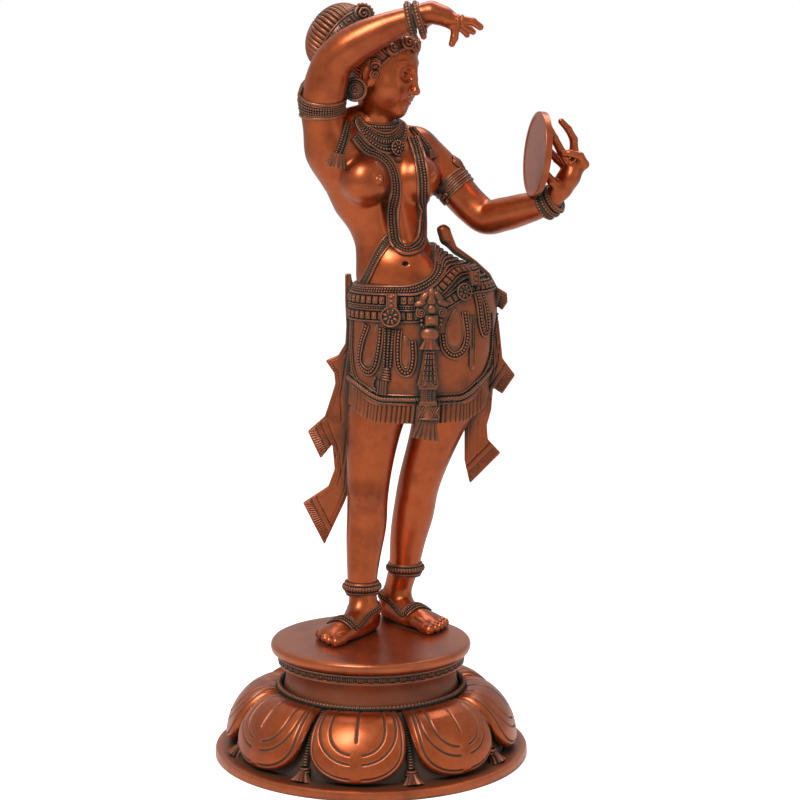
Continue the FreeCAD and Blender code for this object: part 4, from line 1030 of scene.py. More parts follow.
# each finger: places from its root to its tip, with radii
handLook = {
    "right": {"palm": [(44, -8, 672, 9.8), (54, -9, 674.5, 8.6), (64, -10, 671.5, 7.2), (72, -11, 668, 6.0)],
              "flat": ((60, -9, 672), (15, 10, 6.2), (0.96, -0.05, -0.26), (0.25, 0.1, 0.96)),
              "fingers": [[(70, -15, 668, 4.4), (82, -16, 667, 3.9), (90, -16, 666, 3.5),
               (96.5, -16, 661.5, 3.1)],
                          [(68, -10, 666, 4.6), (75, -12, 661, 4.0), (74, -13, 652, 3.5),
                           (72, -13, 647, 2.9)],
                          [(70, -5, 667, 4.2), (80, -3, 664, 3.6), (88, -2, 659.5, 3.1),
                           (91, -2, 657.5, 2.7)],
                          [(68, 0, 667, 4.0), (77, 3, 663, 3.3), (84, 5, 658, 2.9), (86, 6, 655, 2.6)],
                          [(52, -3, 668, 4.6), (47.5, 0, 663, 3.7), (46.5, 1, 658, 3.3),
                           (47.5, 1, 653.5, 2.8)]],
              "rings": [((77, -15.6, 667.4), (12, -0.5, -0.9), 4.6), ((80.5, -15.9, 667.1), (12, -0.5, -0.9),
               4.5)]},
    "left": {"palm": [(162, 6.5, 509.5, 9.8), (171, 5, 520, 9.2), (178, 5, 530, 8.6), (183, 5, 539, 7.4)],
             "flat": ((178, 4.5, 530), (12, 11, 7.0), (0.55, 0.0, 0.83), (0.83, 0.25, -0.5)),
             "fingers": [[(178, 2, 541, 4.4), (171, 0, 551, 4.0), (164, 0, 564, 3.6), (157, 1, 577, 3.3),
              (154.5, 1.5, 583.5, 2.8)],
                         [(182, 9, 541, 4.4), (182.5, 9, 553, 4.0), (182, 8, 563, 3.6), (177, 7, 572, 3.2),
                          (170.5, 6, 579, 2.8)],
                         [(186, 5, 537, 4.6), (191.5, 3, 541, 4.1), (187, -1, 548.5, 3.7),
                          (178, -3, 551, 3.3), (172, -3, 551, 2.9)],
                         [(176, 10, 538, 4.2), (168, 12, 545, 3.7), (160, 12, 553, 3.3), (155, 10, 560, 2.8)],
                         [(169, -1, 519, 5.0), (162, -4, 526, 4.2), (156, -3, 533, 3.6),
                          (153, -2, 541, 2.9)]],
             "rings": [((180, 2.2, 543.5), (-7, -1, 9), 5.2), ((176.8, 1.4, 546.8), (-7, -1, 9), 5.0)]},
}
for side, look in handLook.items():
    everything = np.array(look["palm"] + [s for finger in look["fingers"] for s in finger])
    hand = Clay(everything[:, :3].min(0) - 14, everything[:, :3].max(0) + 14, 0.6)
    hand.bones(look["palm"], joint=5)
    centre, radii, along, thin = look["flat"]
    hand.ball(centre, radii, soft=6, axes=basis(thin, along))
    for finger in look["fingers"]:
        hand.bones(finger, soft=3.0, joint=1.2)
        tip, before = np.array(finger[-1][:3]), np.array(finger[-2][:3])
        nail = basis(np.array([0.0, -1.0, 0.4]), tip - before)
        hand.ball(tip + nail[:, 2] * finger[-1][3] * 0.86, (2.2, 1.5, 0.6), soft=0.2, axes=nail)
    for place, along, radius in look["rings"]:
        for spot in circle(np.array(place), basis(along, up), radius * 0.94, 12):
            hand.ball(spot, 1.25, soft=0.3)
    hand.piece(f"{side}Hand")
print("body, arms, legs and hands ready")

# ---- head: worked in its own frame (side towards the viewer, ahead, up), then nodded and turned into place
headLook = {"middle": (13, 42, 625), "turn": 65, "nod": 12, "bun": (-30, 66, 654), "bunRadii": (33, 24),
    "bunRibs": 44, "strands": 58, "earrings": {"right": (34.0, -9.0, -20.0), "left": (-32.0, -8.0, -19.0)}}
headMiddle = np.array(headLook["middle"], float)
turnAngle, nodAngle = radians(headLook["turn"]), radians(headLook["nod"])
levelAhead = np.array([sin(turnAngle), -cos(turnAngle), 0.0])
faceSide = np.array([-cos(turnAngle), -sin(turnAngle), 0.0])
faceAhead = levelAhead * cos(nodAngle) - up * sin(nodAngle)
faceUp = np.cross(faceSide, faceAhead)
headAxes = np.stack([faceSide, faceAhead, faceUp])


def fromHead(p):
    return headMiddle + np.asarray(p, float) @ headAxes


def toHead(p):
    return (np.asarray(p, float) - headMiddle) @ headAxes.T


head = Clay((-44, -48, -64), (44, 50, 56), 0.7)
head.ball((0, -4, 8), (28, 32, 34))
head.ball((0, 4, -8), (25, 27, 33), soft=10)
head.ball((0, 7, -20), (20, 20, 19), soft=10)
head.ball((0, 20.5, -33), 6.6, soft=9)   # chin
head.bone(toHead((6, 45, 606)), toHead((4, 47, 572)), 15.5, 15.5, soft=7)   # neck
for side in (-1, 1):
    head.ball((side * 14, 16, -12), 11.5, soft=9)   # cheek
    head.ball((side * 11.5, 29.6, 0.5), (9, 6.2, 6.2), soft=4, remove=True)
    head.ball((side * 10.8, 20.2, 0.0), (7.4, 5.4, 4.2), soft=1.0)   # eyeball under a lowered lid
    head.limb([(side * 3.8, 26.4, 0.0, 0.7), (side * 6.8, 26.0, 2.8, 0.8), (side * 11, 25.0, 4.2, 0.8),
        (side * 15.2, 22.8, 3.2, 0.8), (side * 19.2, 19.2, 0.2, 0.7)], 0.8)   # upper lid
    head.limb([(side * 3.8, 26.4, 0.0, 0.6), (side * 7.6, 25.2, -2.8, 0.6), (side * 12.6, 23.6, -3.4, 0.6),
        (side * 19, 19.2, 0.0, 0.6)], 0.8)   # lower lid
    head.limb([(side * 3.6, 28.2, 8.0, 0.9), (side * 8.5, 26.9, 11.4, 1.1), (side * 14.5, 23.8, 11.8, 1.0),
        (side * 21.0, 17.6, 8.6, 0.8)], 1.6)   # brow
    head.ball((side * 4.3, 31.2, -14.4), (2.7, 3.2, 2.5), soft=2.0)
    head.ball((side * 2.7, 33.2, -17.2), (1.2, 1.5, 0.9), soft=0.5, remove=True)
    head.ball((side * 2.9, 29.2, -21.6), (4.6, 2.5, 1.6), soft=1.2)
    head.ball((side * 8.4, 27.3, -22.9), 1.1, soft=1.6, remove=True)
    head.ball((side * 27.5, -3, -6), (3.0, 6.5, 12), soft=2)   # ear
    head.ball((side * 30.4, -2, -4), (1.7, 3.6, 7), soft=1.2, remove=True)
    head.bone((side * 28, -5, -14), (side * 31, -7, -21), 3.2, 2.6, soft=2)
head.bones([(0, 28.2, 7, 2.2), (0, 31.2, -2, 2.3), (0, 34.6, -11.5, 2.9)], soft=4.5, joint=2)
head.ball((0, 35.0, -13.0), (3.6, 3.6, 3.3), soft=2.0)
head.ball((0, 28.6, -25.2), (5.6, 2.9, 2.1), soft=1.4)
head.bones([(-8, 28.2, -23.0, 0.5), (-3, 31.6, -23.1, 0.6), (0, 31.8, -23.5, 0.6), (3, 31.6, -23.1, 0.6),
    (8, 28.2, -23.0, 0.5)], soft=0.6, joint=0.6, remove=True)
head.ball((0, 31.5, -29.6), (6, 4.2, 2.4), soft=3, remove=True)
head.ball((0, 27.2, 15.5), (1.6, 0.9, 1.6), soft=0.3)   # forehead mark
head.keepAbove(headAxes @ up, toHead((5, 47, 577)))
headSkin = head.piece("headSkin", ["head"], reshape=fromHead, relax=1)

knot = unit(np.array(headLook["bun"], float) - np.array([8.0, 44.0, 626.0]))
knotFrame = basis(knot, (0, 0, 1))   # columns: upward in the bun's plane, across, knot
cap = Clay((-40, -50, -40), (40, 40, 56), 0.8)
cap.ball((0, -6, 10), (30.5, 33.5, 34.5))
cap.keepAbove((0, -0.862, 0.507), (0, 22, 22))
cap.ball((0, 27, 4), (24, 12, 20), soft=6, remove=True)


def combed(points):   # strands drawn back to the knot
    world = fromHead(points)
    middle = fromHead((0, -6, 10))
    offset = (world - middle) @ knotFrame
    turn, reach = np.arctan2(offset[:, 1], offset[:, 0]), np.hypot(offset[:, 0], offset[:, 1])
    phase = turn * headLook["strands"] / (2 * pi) + 0.12 * np.sin(offset[:, 2] * 0.25)
    gap = np.abs(phase - np.round(phase))
    depth = 0.9 * np.exp(-(gap / 0.16) ** 2) * np.clip(reach / 14, 0, 1)
    out = world - middle
    return world - out / np.linalg.norm(out, axis=1)[:, None] * depth[:, None]


hairCap = cap.piece("hairCap", reshape=combed)
headAndHair = Surface([headSkin, hairCap])


def addCurl(parts, place, normal, radius, hand):   # a rolled lock: coil, hollow and boss
    axes = basis(normal, up)
    addBall(parts, place, (radius * 0.95, radius * 0.95, radius * 0.5), axes, fine=True)
    turns = 1.8
    coil = []
    for t in np.linspace(0, 1, 44):
        a = hand * t * turns * 2 * pi + 0.6
        r = radius * (0.98 - 0.78 * t)
        coil.append(place + axes @ np.array((cos(a) * r, sin(a) * r, radius * (0.22 + 0.42 * t))))
    addTube(parts, coil, np.linspace(radius * 0.25, radius * 0.13, 44), 8)
    addBall(parts, place + axes[:, 2] * radius * 0.62, (radius * 0.2,) * 3, axes, fine=True)


curls = Parts()
for x, z, radius, hand in ((3.5, 620.5, 4.6, 1), (5.5, 631, 6.4, 1), (18.5, 641.5, 6.8, 1),
        (33, 648, 6.8, 1)):
    place, normal = headAndHair.aim((x, -70, z), (0, 1, 0))
    if place is None:
        place, normal = headAndHair.nearest((x, 10, z))
    local = toHead(place)
    for side in (1, -1):
        spot, facing = headAndHair.nearest(fromHead(local * np.array((side, 1, 1))))
        addCurl(curls, spot + facing * 1.0, unit(facing + faceAhead * 0.3), radius, hand * side)
spot, facing = headAndHair.nearest(fromHead((0, 27, 27)))
addCurl(curls, spot + facing, facing, 6.4, -1)
fringeLine = layLine(headAndHair, [fromHead(p) for p in ((27, 6, 2), (24, 14, 14), (14, 21, 23), (0, 24, 27),
    (-14, 21, 23), (-24, 14, 14), (-27, 6, 2))], samples=90)
addCord(curls, fringeLine, 0, 0.6, 1.5, 8)
addStuds(curls, fringeLine, (1.1, 2.4, 1.5), 3.2, 1.2)
curls.piece("foreheadCurls")

bunCentre = np.array(headLook["bun"], float)
wide, deep = headLook["bunRadii"]
ribs, rows = headLook["bunRibs"], 46
columns = ribs * 8
polar = np.radians(np.linspace(3, 118, rows))[:, None]
phi = evenTurns(columns)[None, :]
gap = 0.5 - np.abs((phi * ribs / (2 * pi)) % 1 - 0.5)
lift = -1.9 * np.exp(-(gap / 0.17) ** 2) * np.clip((polar - 0.42) / 0.25, 0,
    1) + 0.5 * np.clip((polar - 0.42) / 0.25, 0, 1)
radial, high = (wide + lift) * np.sin(polar), (deep + lift * 0.8) * np.cos(polar)
bunPoints = bunCentre + np.stack([radial * np.cos(phi), radial * np.sin(phi), high + 0 * phi],
    -1).reshape(-1, 3) @ knotFrame.T
bun = Parts()
bun.add(bunPoints, [face[::-1] for face in gridFaces(rows, columns, loopColumns=True)]
    + [tuple(range(columns)), tuple(range((rows - 1) * columns, rows * columns))[::-1]])
bun.piece("hairBun", 60)

bandParts = Parts()
bandCentre = bunCentre - knot * 12.5
angles = evenTurns(120)
radials = np.cos(angles)[:, None] * knotFrame[:, 0] + np.sin(angles)[:, None] * knotFrame[:, 1]
bandLine = Line(bandCentre + radials * 29.8, [unit(r - knot * 0.25) for r in radials], closed=True)
addStrap(bandParts, bandLine, 10.5, 1.4, sink=6.0, arch=0.4)
addRims(bandParts, bandLine, 5.2, 1.0, 1.25, 8)
for i, (place, axes) in enumerate(bandLine.evenly(4.6, out=1.8)):
    if i % 3 == 2:
        addBall(bandParts, place, (1.8, 1.8, 1.5), axes, fine=True)
    else:
        addBlock(bandParts, place, (0.85, 3.4, 1.2), axes)
        addBall(bandParts, place + axes[:, 1] * 2.2 + axes[:, 2] * 0.7, (1.0, 1.1, 1.0), axes)
crestPlace = bandCentre + knotFrame[:, 0] * 31.5
crestAxes = basis(unit(np.array([0.25, -0.95, 0.2])), up)
addCurl(bandParts, crestPlace + front * 3, crestAxes[:, 2], 8.0, 1)
crestRing = circle(crestPlace + front * 2.4, crestAxes, 8.8, 36)
addTube(bandParts, crestRing, 1.7, 8, closed=True)
for spot in crestRing[::2]:
    addBall(bandParts, spot + (spot - crestPlace - front * 2.4) * 0.12, 1.5)
bandParts.piece("bunBand")

for side, place in headLook["earrings"].items():
    disc = Parts()
    out = faceSide if side == "right" else -faceSide
    centre, axes = fromHead(place), basis(unit(out + faceAhead * 0.25), up)
    addBall(disc, centre, (9.6, 9.6, 3.2), axes, fine=True)
    addTube(disc, circle(centre, axes, 9.6, 48, 0.8), 1.7, 9, closed=True)
    for spot in circle(centre, axes, 6.9, 22, 2.2):
        addBall(disc, spot, 0.95, axes)
    coil = []
    for t in np.linspace(0, 1, 40):
        a, r = t * 1.7 * 2 * pi, 5.2 * (1 - 0.8 * t)
        coil.append(centre + axes @ np.array((cos(a) * r, sin(a) * r, 3.0)))
    addTube(disc, coil, 0.85, 7)
    addBall(disc, centre + axes[:, 2] * 3.0, 1.3, axes, fine=True)
    addTube(disc, [centre + axes @ np.array((6, 0, -2)), centre - out * 4 + faceUp * 8], 1.6, 8)
    disc.piece(f"{side}Earring")
print("head and hair ready")


# ---- mirror: a turned disc, its two faces sunk inside a narrow rim
mirrorSize = {"middle": (149.5, 4.0, 550.0), "radius": 38.0, "thickness": 6.0, "rim": 2.6, "sunk": 0.5,
    "bevel": 0.8, "facing": (-0.98, -0.18, 0.1)}
deselectAll()
bpy.ops.mesh.primitive_cylinder_add(vertices=128, radius=mirrorSize["radius"] * mm,
    depth=mirrorSize["thickness"] * mm, location=[c * mm for c in mirrorSize["middle"]],
    rotation=Vector(mirrorSize["facing"]).to_track_quat("Z", "Y").to_euler())
mirror = bpy.context.object
mirror.name = mirror.data.name = "mirrorDisc"
bpy.ops.object.mode_set(mode="EDIT")
bpy.ops.mesh.select_all(action="DESELECT")
bpy.ops.mesh.select_mode(type="EDGE")
bpy.ops.mesh.edges_select_sharp(sharpness=radians(60))
bpy.ops.mesh.bevel(offset=mirrorSize["bevel"] * mm, segments=4, profile=0.6)
bpy.ops.mesh.select_all(action="DESELECT")
bpy.ops.mesh.select_mode(type="FACE")
bpy.ops.mesh.select_face_by_sides(number=128)
bpy.ops.mesh.inset(thickness=mirrorSize["rim"] * mm, depth=0)
bpy.ops.mesh.inset(thickness=0.6 * mm, depth=-mirrorSize["sunk"] * mm)
bpy.ops.object.mode_set(mode="OBJECT")
bpy.ops.object.transform_apply(location=True, rotation=True, scale=True)
settle(mirror, ["mirror"], 30)
print("mirror ready")

# ---- skirt: a closed shell round the hips, its ornaments laid on it
def shellRound(name, heights, grow, wall, columns, relief=None, rise=None, topRise=None, smoothAngle=None):
    # heights from the hem upwards; grow(z) is how far the outside stands off the body
    heights = np.asarray(heights, float)
    around = evenTurns(columns)
    z = heights[:, None] + 0 * around[None, :]
    share = ((heights - heights[0]) / (heights[-1] - heights[0]))[:, None]
    z = z + rise(around)[None, :] * (1 - share) + topRise(around)[None, :] * share
    cx, cy, hw, hd, turn = trunkAt(z)
    out = np.array([grow(h) for h in heights])[:, None] + (relief(z, around[None, :]) if relief else 0)
    turn = np.radians(turn)
    rings = []
    for extra in (out, out - wall):
        u, v = (hw + extra) * np.cos(around), (hd + extra) * np.sin(around)
        rings.append(np.stack([cx + u * np.cos(turn) - v * np.sin(turn), cy + u * np.sin(turn) + v
            * np.cos(turn), z], -1))
    points = np.concatenate([rings[0], rings[1][::-1]]).reshape(-1, 3)
    faces = gridFaces(2 * len(heights), columns, loopRows=True, loopColumns=True)
    shell = Parts()
    shell.add(points, faces)
    return shell.piece(name, smoothAngle)


hemLook = {"low": 325.0, "rise": 24.0, "pleats": 84, "pleatDepth": 1.7}


def hemRise(a):   # the hem climbs towards both hips
    left, right = np.clip((np.cos(a) - 0.55) / 0.45, 0, 1), np.clip((-np.cos(a) - 0.70) / 0.30, 0, 1)
    return hemLook["rise"] * (left ** 1.9 + 0.62 * right ** 1.9)


def beltRise(a, q=0.0):   # climbs over the left hip; q: the belt's rows 0, the top cord 1
    t = np.clip((np.cos(a) + 0.3 + 0.1 * q) / (0.95 + 0.55 * q), 0, 1)
    return (22 + 12 * q) * t * t * (3 - 2 * t)


def thighFolds(z, a):   # the cloth follows the two thighs and dips between them
    dip = 2.4 * np.exp(-((np.cos(a) * 62 - 6) / 14) ** 2) * np.clip((400 - z) / 60, 0, 1)
    return -dip + 0.25 * np.sin(a * 9 + z * 0.05)


skirt = shellRound("skirt", np.linspace(hemLook["low"] - 2, 424, 56), lambda z: 4.2 + 1.2
    * exp(-(z - 325) / 10), 2.4, 300, thighFolds, hemRise, beltRise)


def pleats(z, a):
    n = hemLook["pleats"]
    wave = np.abs(np.sin(a * n / 2 + 0.35 * np.sin(a * 13)))
    return hemLook["pleatDepth"] * (wave ** 0.6 - 0.5) + 0.9 * np.sin(a * 11 + 1)


shellRound("skirtFrill", np.linspace(307, 327, 12), lambda z: 7.0 - (z - 307) * 0.13, 2.6, hemLook["pleats"]
    * 9, pleats, lambda a: hemRise(a) * 0.8, hemRise, 60)
dress = Surface([skirt])


def frontLine(onto, points, out=0.0, samples=None,
        closed=False):   # a run given as seen from the front: x and height
    drawn = np.array([(x, 0, z) for x, z in points])
    samples = samples or max(int(runLength(drawn, closed) / 1.3), 10)
    places, normals = [], []
    for x, _, z in smoothLine(drawn, samples, closed):
        place, normal = seenAt(onto, x, z)
        if place is None:
            place, normal = onto.nearest((x, 20, z))
        places.append(place + normal * out)
        normals.append(normal)
    return Line(places, normals, closed)


def addTwist(parts, line, radius, pitch, sideways=0.0, out=0.0, lean=0.7):   # a twisted rope
    addCord(parts, line, sideways, out, radius * 0.8, 8)
    skewed = np.array(Matrix.Rotation(lean, 3, "Z"))
    for place, axes in line.evenly(pitch, sideways, out):
        addBall(parts, place, (pitch * 0.62, radius * 1.25, radius * 0.95), axes @ skewed)


hem = Parts()
places, normals = [], []
for a in evenTurns(260):
    z = hemLook["low"] + 4 + float(hemRise(a))
    cx, cy, _, _, turn = hipsAt(z)
    direction = np.array([cos(a + turn), sin(a + turn), 0.0])
    place, normal = dress.aim(np.array([cx, cy, z]) + direction * 130, -direction)
    places.append(place)
    normals.append(unit(normal * np.array((1, 1, 0.3))))
hemLine = Line(places, normals, closed=True)
addTwist(hem, hemLine, 2.3, 2.7, out=1.6)
addCord(hem, hemLine, 3.9, 0.5, 0.9, 6)
addCord(hem, hemLine, -3.9, 0.8, 0.9, 6)
hem.piece("hemCord")

swags = Parts()
swagShapes = [   # outer run from its left top round to its right top, then the smooth oval inside it
    ([(-5, 397), (-9.5, 381), (-11.5, 362), (-7, 352), (1, 350.5), (7, 359), (10.5, 377), (12, 394)],
     [(3.0, 394), (-3.2, 377), (-4.6, 363), (-1, 359.5), (2.6, 363), (5.8, 378), (6.6, 393)]),
    ([(23, 393), (22, 378), (22.5, 362), (26, 353.5), (32, 350.5), (38, 354), (41, 366), (40.5, 383)],
     [(30.5, 386), (28.3, 375), (28.5, 363), (31.5, 359), (35.2, 363), (36.2, 373), (33.8, 382)]),
    ([(62, 388), (64, 376), (70, 368), (78, 366), (86, 371.5), (89.8, 386), (87.5, 408)],
     [(76, 409), (69.6, 395), (70.8, 381), (76, 376.5), (81, 380), (83, 392), (79.8, 407)]),
    ([(89.5, 433), (95.5, 418), (98.8, 395), (102.5, 384.5), (107.5, 386), (109, 394), (106.4, 413),
     (100, 430)],
     [(97, 428), (99.6, 412), (102.2, 396), (104.6, 393), (105.4, 401), (103.2, 416), (99.4, 429)]),
]
for outer, oval in swagShapes:
    run = frontLine(dress, outer)
    toward = run.across[len(run.across) // 2] @ (np.array((np.mean([p[0] for p in outer]), 0, 400.0))
        - run.places[len(run.places) // 2])
    inward = 1.0 if toward > 0 else -1.0
    addCord(swags, run, 0, 0.7, 1.25, 7)
    addBeads(swags, run, 1.6, inward * 2.9, 1.0, pitch=2.9)
    addCord(swags, run, inward * 5.5, 0.6, 1.0, 7)
    ovalMiddle = np.mean(oval, axis=0)
    plaque = frontLine(dress, [tuple(ovalMiddle + (np.array(q) - ovalMiddle) * (1.14, 1.04)) for q in oval],
        closed=True, samples=60)
    centre = plaque.places.mean(axis=0)
    addCord(swags, plaque, 0, 0.4, 0.8, 6)
    ring = plaque.offset(0, 0.2)
    middleRing = ring + (centre - ring) * 0.55 + plaque.normals * 1.5
    face = np.vstack([plaque.offset(0, -1.0), ring, ring + (centre - ring) * 0.16 + plaque.normals * 1.1,
        middleRing])
    n = len(ring)
    swags.add(face, gridFaces(4, n, loopColumns=True) + [tuple(range(3 * n, 4 * n)), tuple(range(n))[::-1]])
for x0, x1, top, low in ((14.0, 12.4, 396, 358), (17.6, 15.2, 394, 357),
        (20.8, 18.2, 393, 358)):   # strings between the first two swags
    addBeads(swags, frontLine(dress, [(x0, top), ((x0 + x1) / 2, 375), (x1, low)]), 1.35, 0, 1.2, pitch=2.6)
dropLine = frontLine(dress, [(15.2, 358), (13.6, 346)])
for place, axes in dropLine.evenly(2.4, out=1.2):
    share = (358 - place[2]) / 12
    addBall(swags, place, (1.5, 3.6 + 2.4 * share, 2.4), axes)
squareLine = frontLine(dress, [(11.4, 346), (10.6, 333)])
addStrap(swags, squareLine, 9.5, 2.0, sink=2)
for k in (-3.6, -1.2, 1.2, 3.6):
    addCord(swags, squareLine, k, 2.5, 0.75, 6)
hookLine = frontLine(dress, [(5.4, 349), (3.2, 345), (3.0, 340), (5.0, 337.5)])
addCord(swags, hookLine, 0, 1.0, [1.3] * len(hookLine.places), 7)
tabLine = frontLine(dress, [(92.6, 404), (92.4, 388), (92.2, 372), (92.2, 357)])
addStrap(swags, tabLine, 6.2, 1.1, sink=2)
addRims(swags, tabLine, 2.7, 1.2, 0.7, 6)
addBeads(swags, frontLine(dress, [(92.6, 404), (92.4, 390), (92.3, 374)]), 0.9, 0, 1.9, pitch=2.0)
addBall(swags, seenAt(dress, 92.2, 356.5)[0], (3.4, 1.8, 3.6))
sideBorder = frontLine(dress, [(-16.6, 400), (-17.0, 384), (-17.0, 368), (-15.0, 350), (-7.5, 336.5),
    (2, 333)])
addBeads(swags, sideBorder, 1.3, 0, 1.0, pitch=2.4)
addRims(swags, sideBorder, 2.4, 0.5, 0.85, 6)
farBorder = frontLine(dress, [(110.5, 404), (111.0, 384), (110, 366), (104, 350), (96, 342)])
addBeads(swags, farBorder, 1.3, 0, 1.0, pitch=2.4)
addCord(swags, farBorder, 2.4, 0.5, 0.85, 6)
# the same dress carried round the back: five loops and their drops
for k, a in enumerate(np.radians((25, 58, 90, 122, 155))):
    cx, cy, hw, hd, _ = hipsAt(390.0)

    def behind(x, z, a=a):   # x runs along the back from the loop's middle
        t = a - x / 60.0
        return dress.nearest((cx + (hw + 6) * cos(t), cy + (hd + 6) * sin(t), z))[0]
    run = layLine(dress, [behind(x, z) for x, z in ((-9, 402), (-9.5, 380), (-7, 364), (0, 356), (7, 364),
        (9.5, 380), (9, 402))], samples=70)
    addCord(swags, run, 0, 0.7, 1.25, 7)
    for hand in (1, -1):
        if (run.across[35] * hand)[2] > 0:
            addBeads(swags, run, 1.6, hand * 2.9, 1.0, pitch=2.9)
            addCord(swags, run, hand * 5.5, 0.6, 1.0, 6)
    if k < 4:
        string = layLine(dress, [behind(16.5, 402), behind(16.5, 380), behind(16.5, 362)], samples=30)
        addBeads(swags, string, 1.4, 0, 1.2, pitch=2.8)
        end = layLine(dress, [behind(16.5, 362), behind(16.5, 346)], samples=10)
        addStrap(swags, end, 7.5, 1.6, sink=2)
        for side in (-2.4, 0, 2.4):
            addCord(swags, end, side, 2.1, 0.8, 6)
swags.piece("skirtSwags")
print("skirt ready")

# ---- girdle: nested rows under the belly and a belt of links on the skirt's top
def hipPlace(a, h):
    cx, cy, hw, hd, turn = hipsAt(h)
    u, v = hw * cos(a), hd * sin(a)
    return np.array((cx + u * cos(turn) - v * sin(turn), cy + u * sin(turn) + v * cos(turn), h))


def hipRing(z, q=0.0, out=4.0, samples=260, sweep=None):   # a run round the hips that climbs as the belt does
    places, normals = [], []
    angles = evenTurns(samples) if sweep is None else np.radians(np.linspace(-sweep, sweep, samples // 3))
    for a in angles:
        h = z + float(beltRise(a, q))
        low, here, high = (hipPlace(a, h + step) for step in (-1.0, 0.0, 1.0))
        normal = unit(np.cross(hipPlace(a + 0.02, h) - hipPlace(a - 0.02, h), high - low))
        places.append(here + normal * out)
        normals.append(normal)
    return Line(places, normals, closed=sweep is None)


girdle = Parts()
beltLook = {"links": (404.6, 418.2), "linkPitch": 6.6, "topRows": 7, "topFrom": 423.6, "topTo": 430.4}
addStrap(girdle, hipRing(411.5, 0, 3.6), 22, 0.8, sink=3.0, arch=0.0)
for z in beltLook["links"]:
    run = hipRing(z, 0, 4.4)
    for place, axes in run.evenly(beltLook["linkPitch"], out=1.4):   # framed links
        addBlock(girdle, place, (2.6, 3.4, 1.5), axes, 0.9)
        addBall(girdle, place + axes[:, 2] * 1.5, (1.2, 2.0, 0.9), axes)
    addStuds(girdle, run, (0.8, 2.6, 1.2), beltLook["linkPitch"] / 2, 1.0)
    addRims(girdle, run, 5.0, 1.0, 1.0)
addBeads(girdle, hipRing(411.4, 0, 4.4), 1.2, 0, 1.2, pitch=2.5)
rows = beltLook["topRows"]
for k in range(rows):   # nested cords and beads fanning out over the left hip
    q = k / (rows - 1)
    height = beltLook["topFrom"] + (beltLook["topTo"] - beltLook["topFrom"]) * q
    between = k % 2 == 1   # rows that only open out over the hip
    row = hipRing(height, q, 3.6 - 1.4 * q, sweep=64 if between else None)
    addStrap(girdle, row, 4.2, 0.1, sink=3.0, arch=0.0)
    if k in (0, 3, 6):
        addCord(girdle, row, 0, 0.5, 1.35, 7)
    else:
        addBeads(girdle, row, 1.45, 0, 0.5, pitch=2.6)
for x, z in ((18.7, 420), (94, 441)):   # upright link blocks over the rosettes
    centre, normal = dress.nearest((x, -4 if x < 50 else 18, z - 8))
    axes = basis(unit(normal * np.array((1, 1, 0))), up)
    centre = centre + up * 8 + axes[:, 2] * 5.5
    addBlock(girdle, centre, (6.5, 4.6, 2.2), axes)
    for dz in (-4, 0, 4):
        addBall(girdle, centre + up * dz + axes[:, 2] * 2.2, (1.5, 2.6, 1.3), axes, fine=True)
    for side in (-4.0, 4.0):
        addTube(girdle, [centre + axes @ np.array((-6.5, side, 1.6)), centre + axes
            @ np.array((6.5, side, 1.6))], 0.9, 6)
girdle.piece("girdle")

flowers = Parts()
for x, z, radius in ((19.9, 404.8, 8.6), (82.0, 425.8, 7.0)):
    place, normal = seenAt(dress, x, z)
    outward = unit(normal * np.array((1, 1, 0.2)))
    addTube(flowers, [place - outward * 2, place + outward * 5.4], radius * 0.9, 20)
    addRosette(flowers, place + outward * 5.2, basis(outward, up), radius, 8, 3.6)
flowers.piece("girdleRosettes")

# clasp: a lotus bud between leaves, a framed square stone under it
clasp = Parts()
claspMiddle, claspOut = seenAt(dress, 54, 412)
claspOut = unit(claspOut * np.array((1, 1, 0)))
claspAxes = basis(claspOut, up)   # columns: up, sideways, out
face = lambda rise, side, out: claspMiddle + claspAxes @ np.array((rise, side, out))
addBall(clasp, face(2, 0, 3.2), (16, 13, 5.2), claspAxes, fine=True)
for rise, side, long_, wide_, turn in ((13, 0, 6.5, 3.6, 0), (11, 6.5, 6.5, 3.2, -40),
        (11, -6.5, 6.5, 3.2, 40), (5.5, 10, 6, 3, -75), (5.5, -10, 6, 3, 75), (7.5, 0, 5, 4.6, 0)):
    spin = claspAxes @ np.array(Matrix.Rotation(radians(turn), 3, "Z"))
    addBall(clasp, face(rise, side, 7.4), (long_, wide_, 2.6), spin, fine=True)
    addBall(clasp, face(rise, side, 9.4), (long_ * 0.7, 0.7, 0.9), spin)
addBall(clasp, face(0, 0, 8.4), (4.6, 4.2, 3.2), claspAxes, fine=True)
for side in (-9.5, 9.5):
    addCurl(clasp, face(-3, side, 6.4), claspOut, 4.4, 1 if side > 0 else -1)
addBlock(clasp, face(-10, 0, 7.4), (5.4, 6.2, 2.8), claspAxes)
addBlock(clasp, face(-10, 0, 9.6), (3.2, 3.8, 1.6), claspAxes)
for side in (-8.6, 8.6):
    for rise in (-6, -10, -14):
        addBall(clasp, face(rise, side, 6.6), (1.7, 1.9, 1.8), claspAxes)
for side in np.linspace(-9, 9, 9):
    addBall(clasp, face(-17.2 + 0.04 * side * side, side, 6.2), (2.4, 1.0, 1.6), claspAxes)
clasp.piece("girdleClasp")

tassel = Parts()
spine = frontLine(dress, [(52.8, 396), (52.6, 384), (52.2, 372), (51.6, 356), (51.0, 341), (51.0, 331)],
    out=1.5)


def spineAt(z):
    return spine.places[int(np.argmin(np.abs(spine.places[:, 2] - z)))]


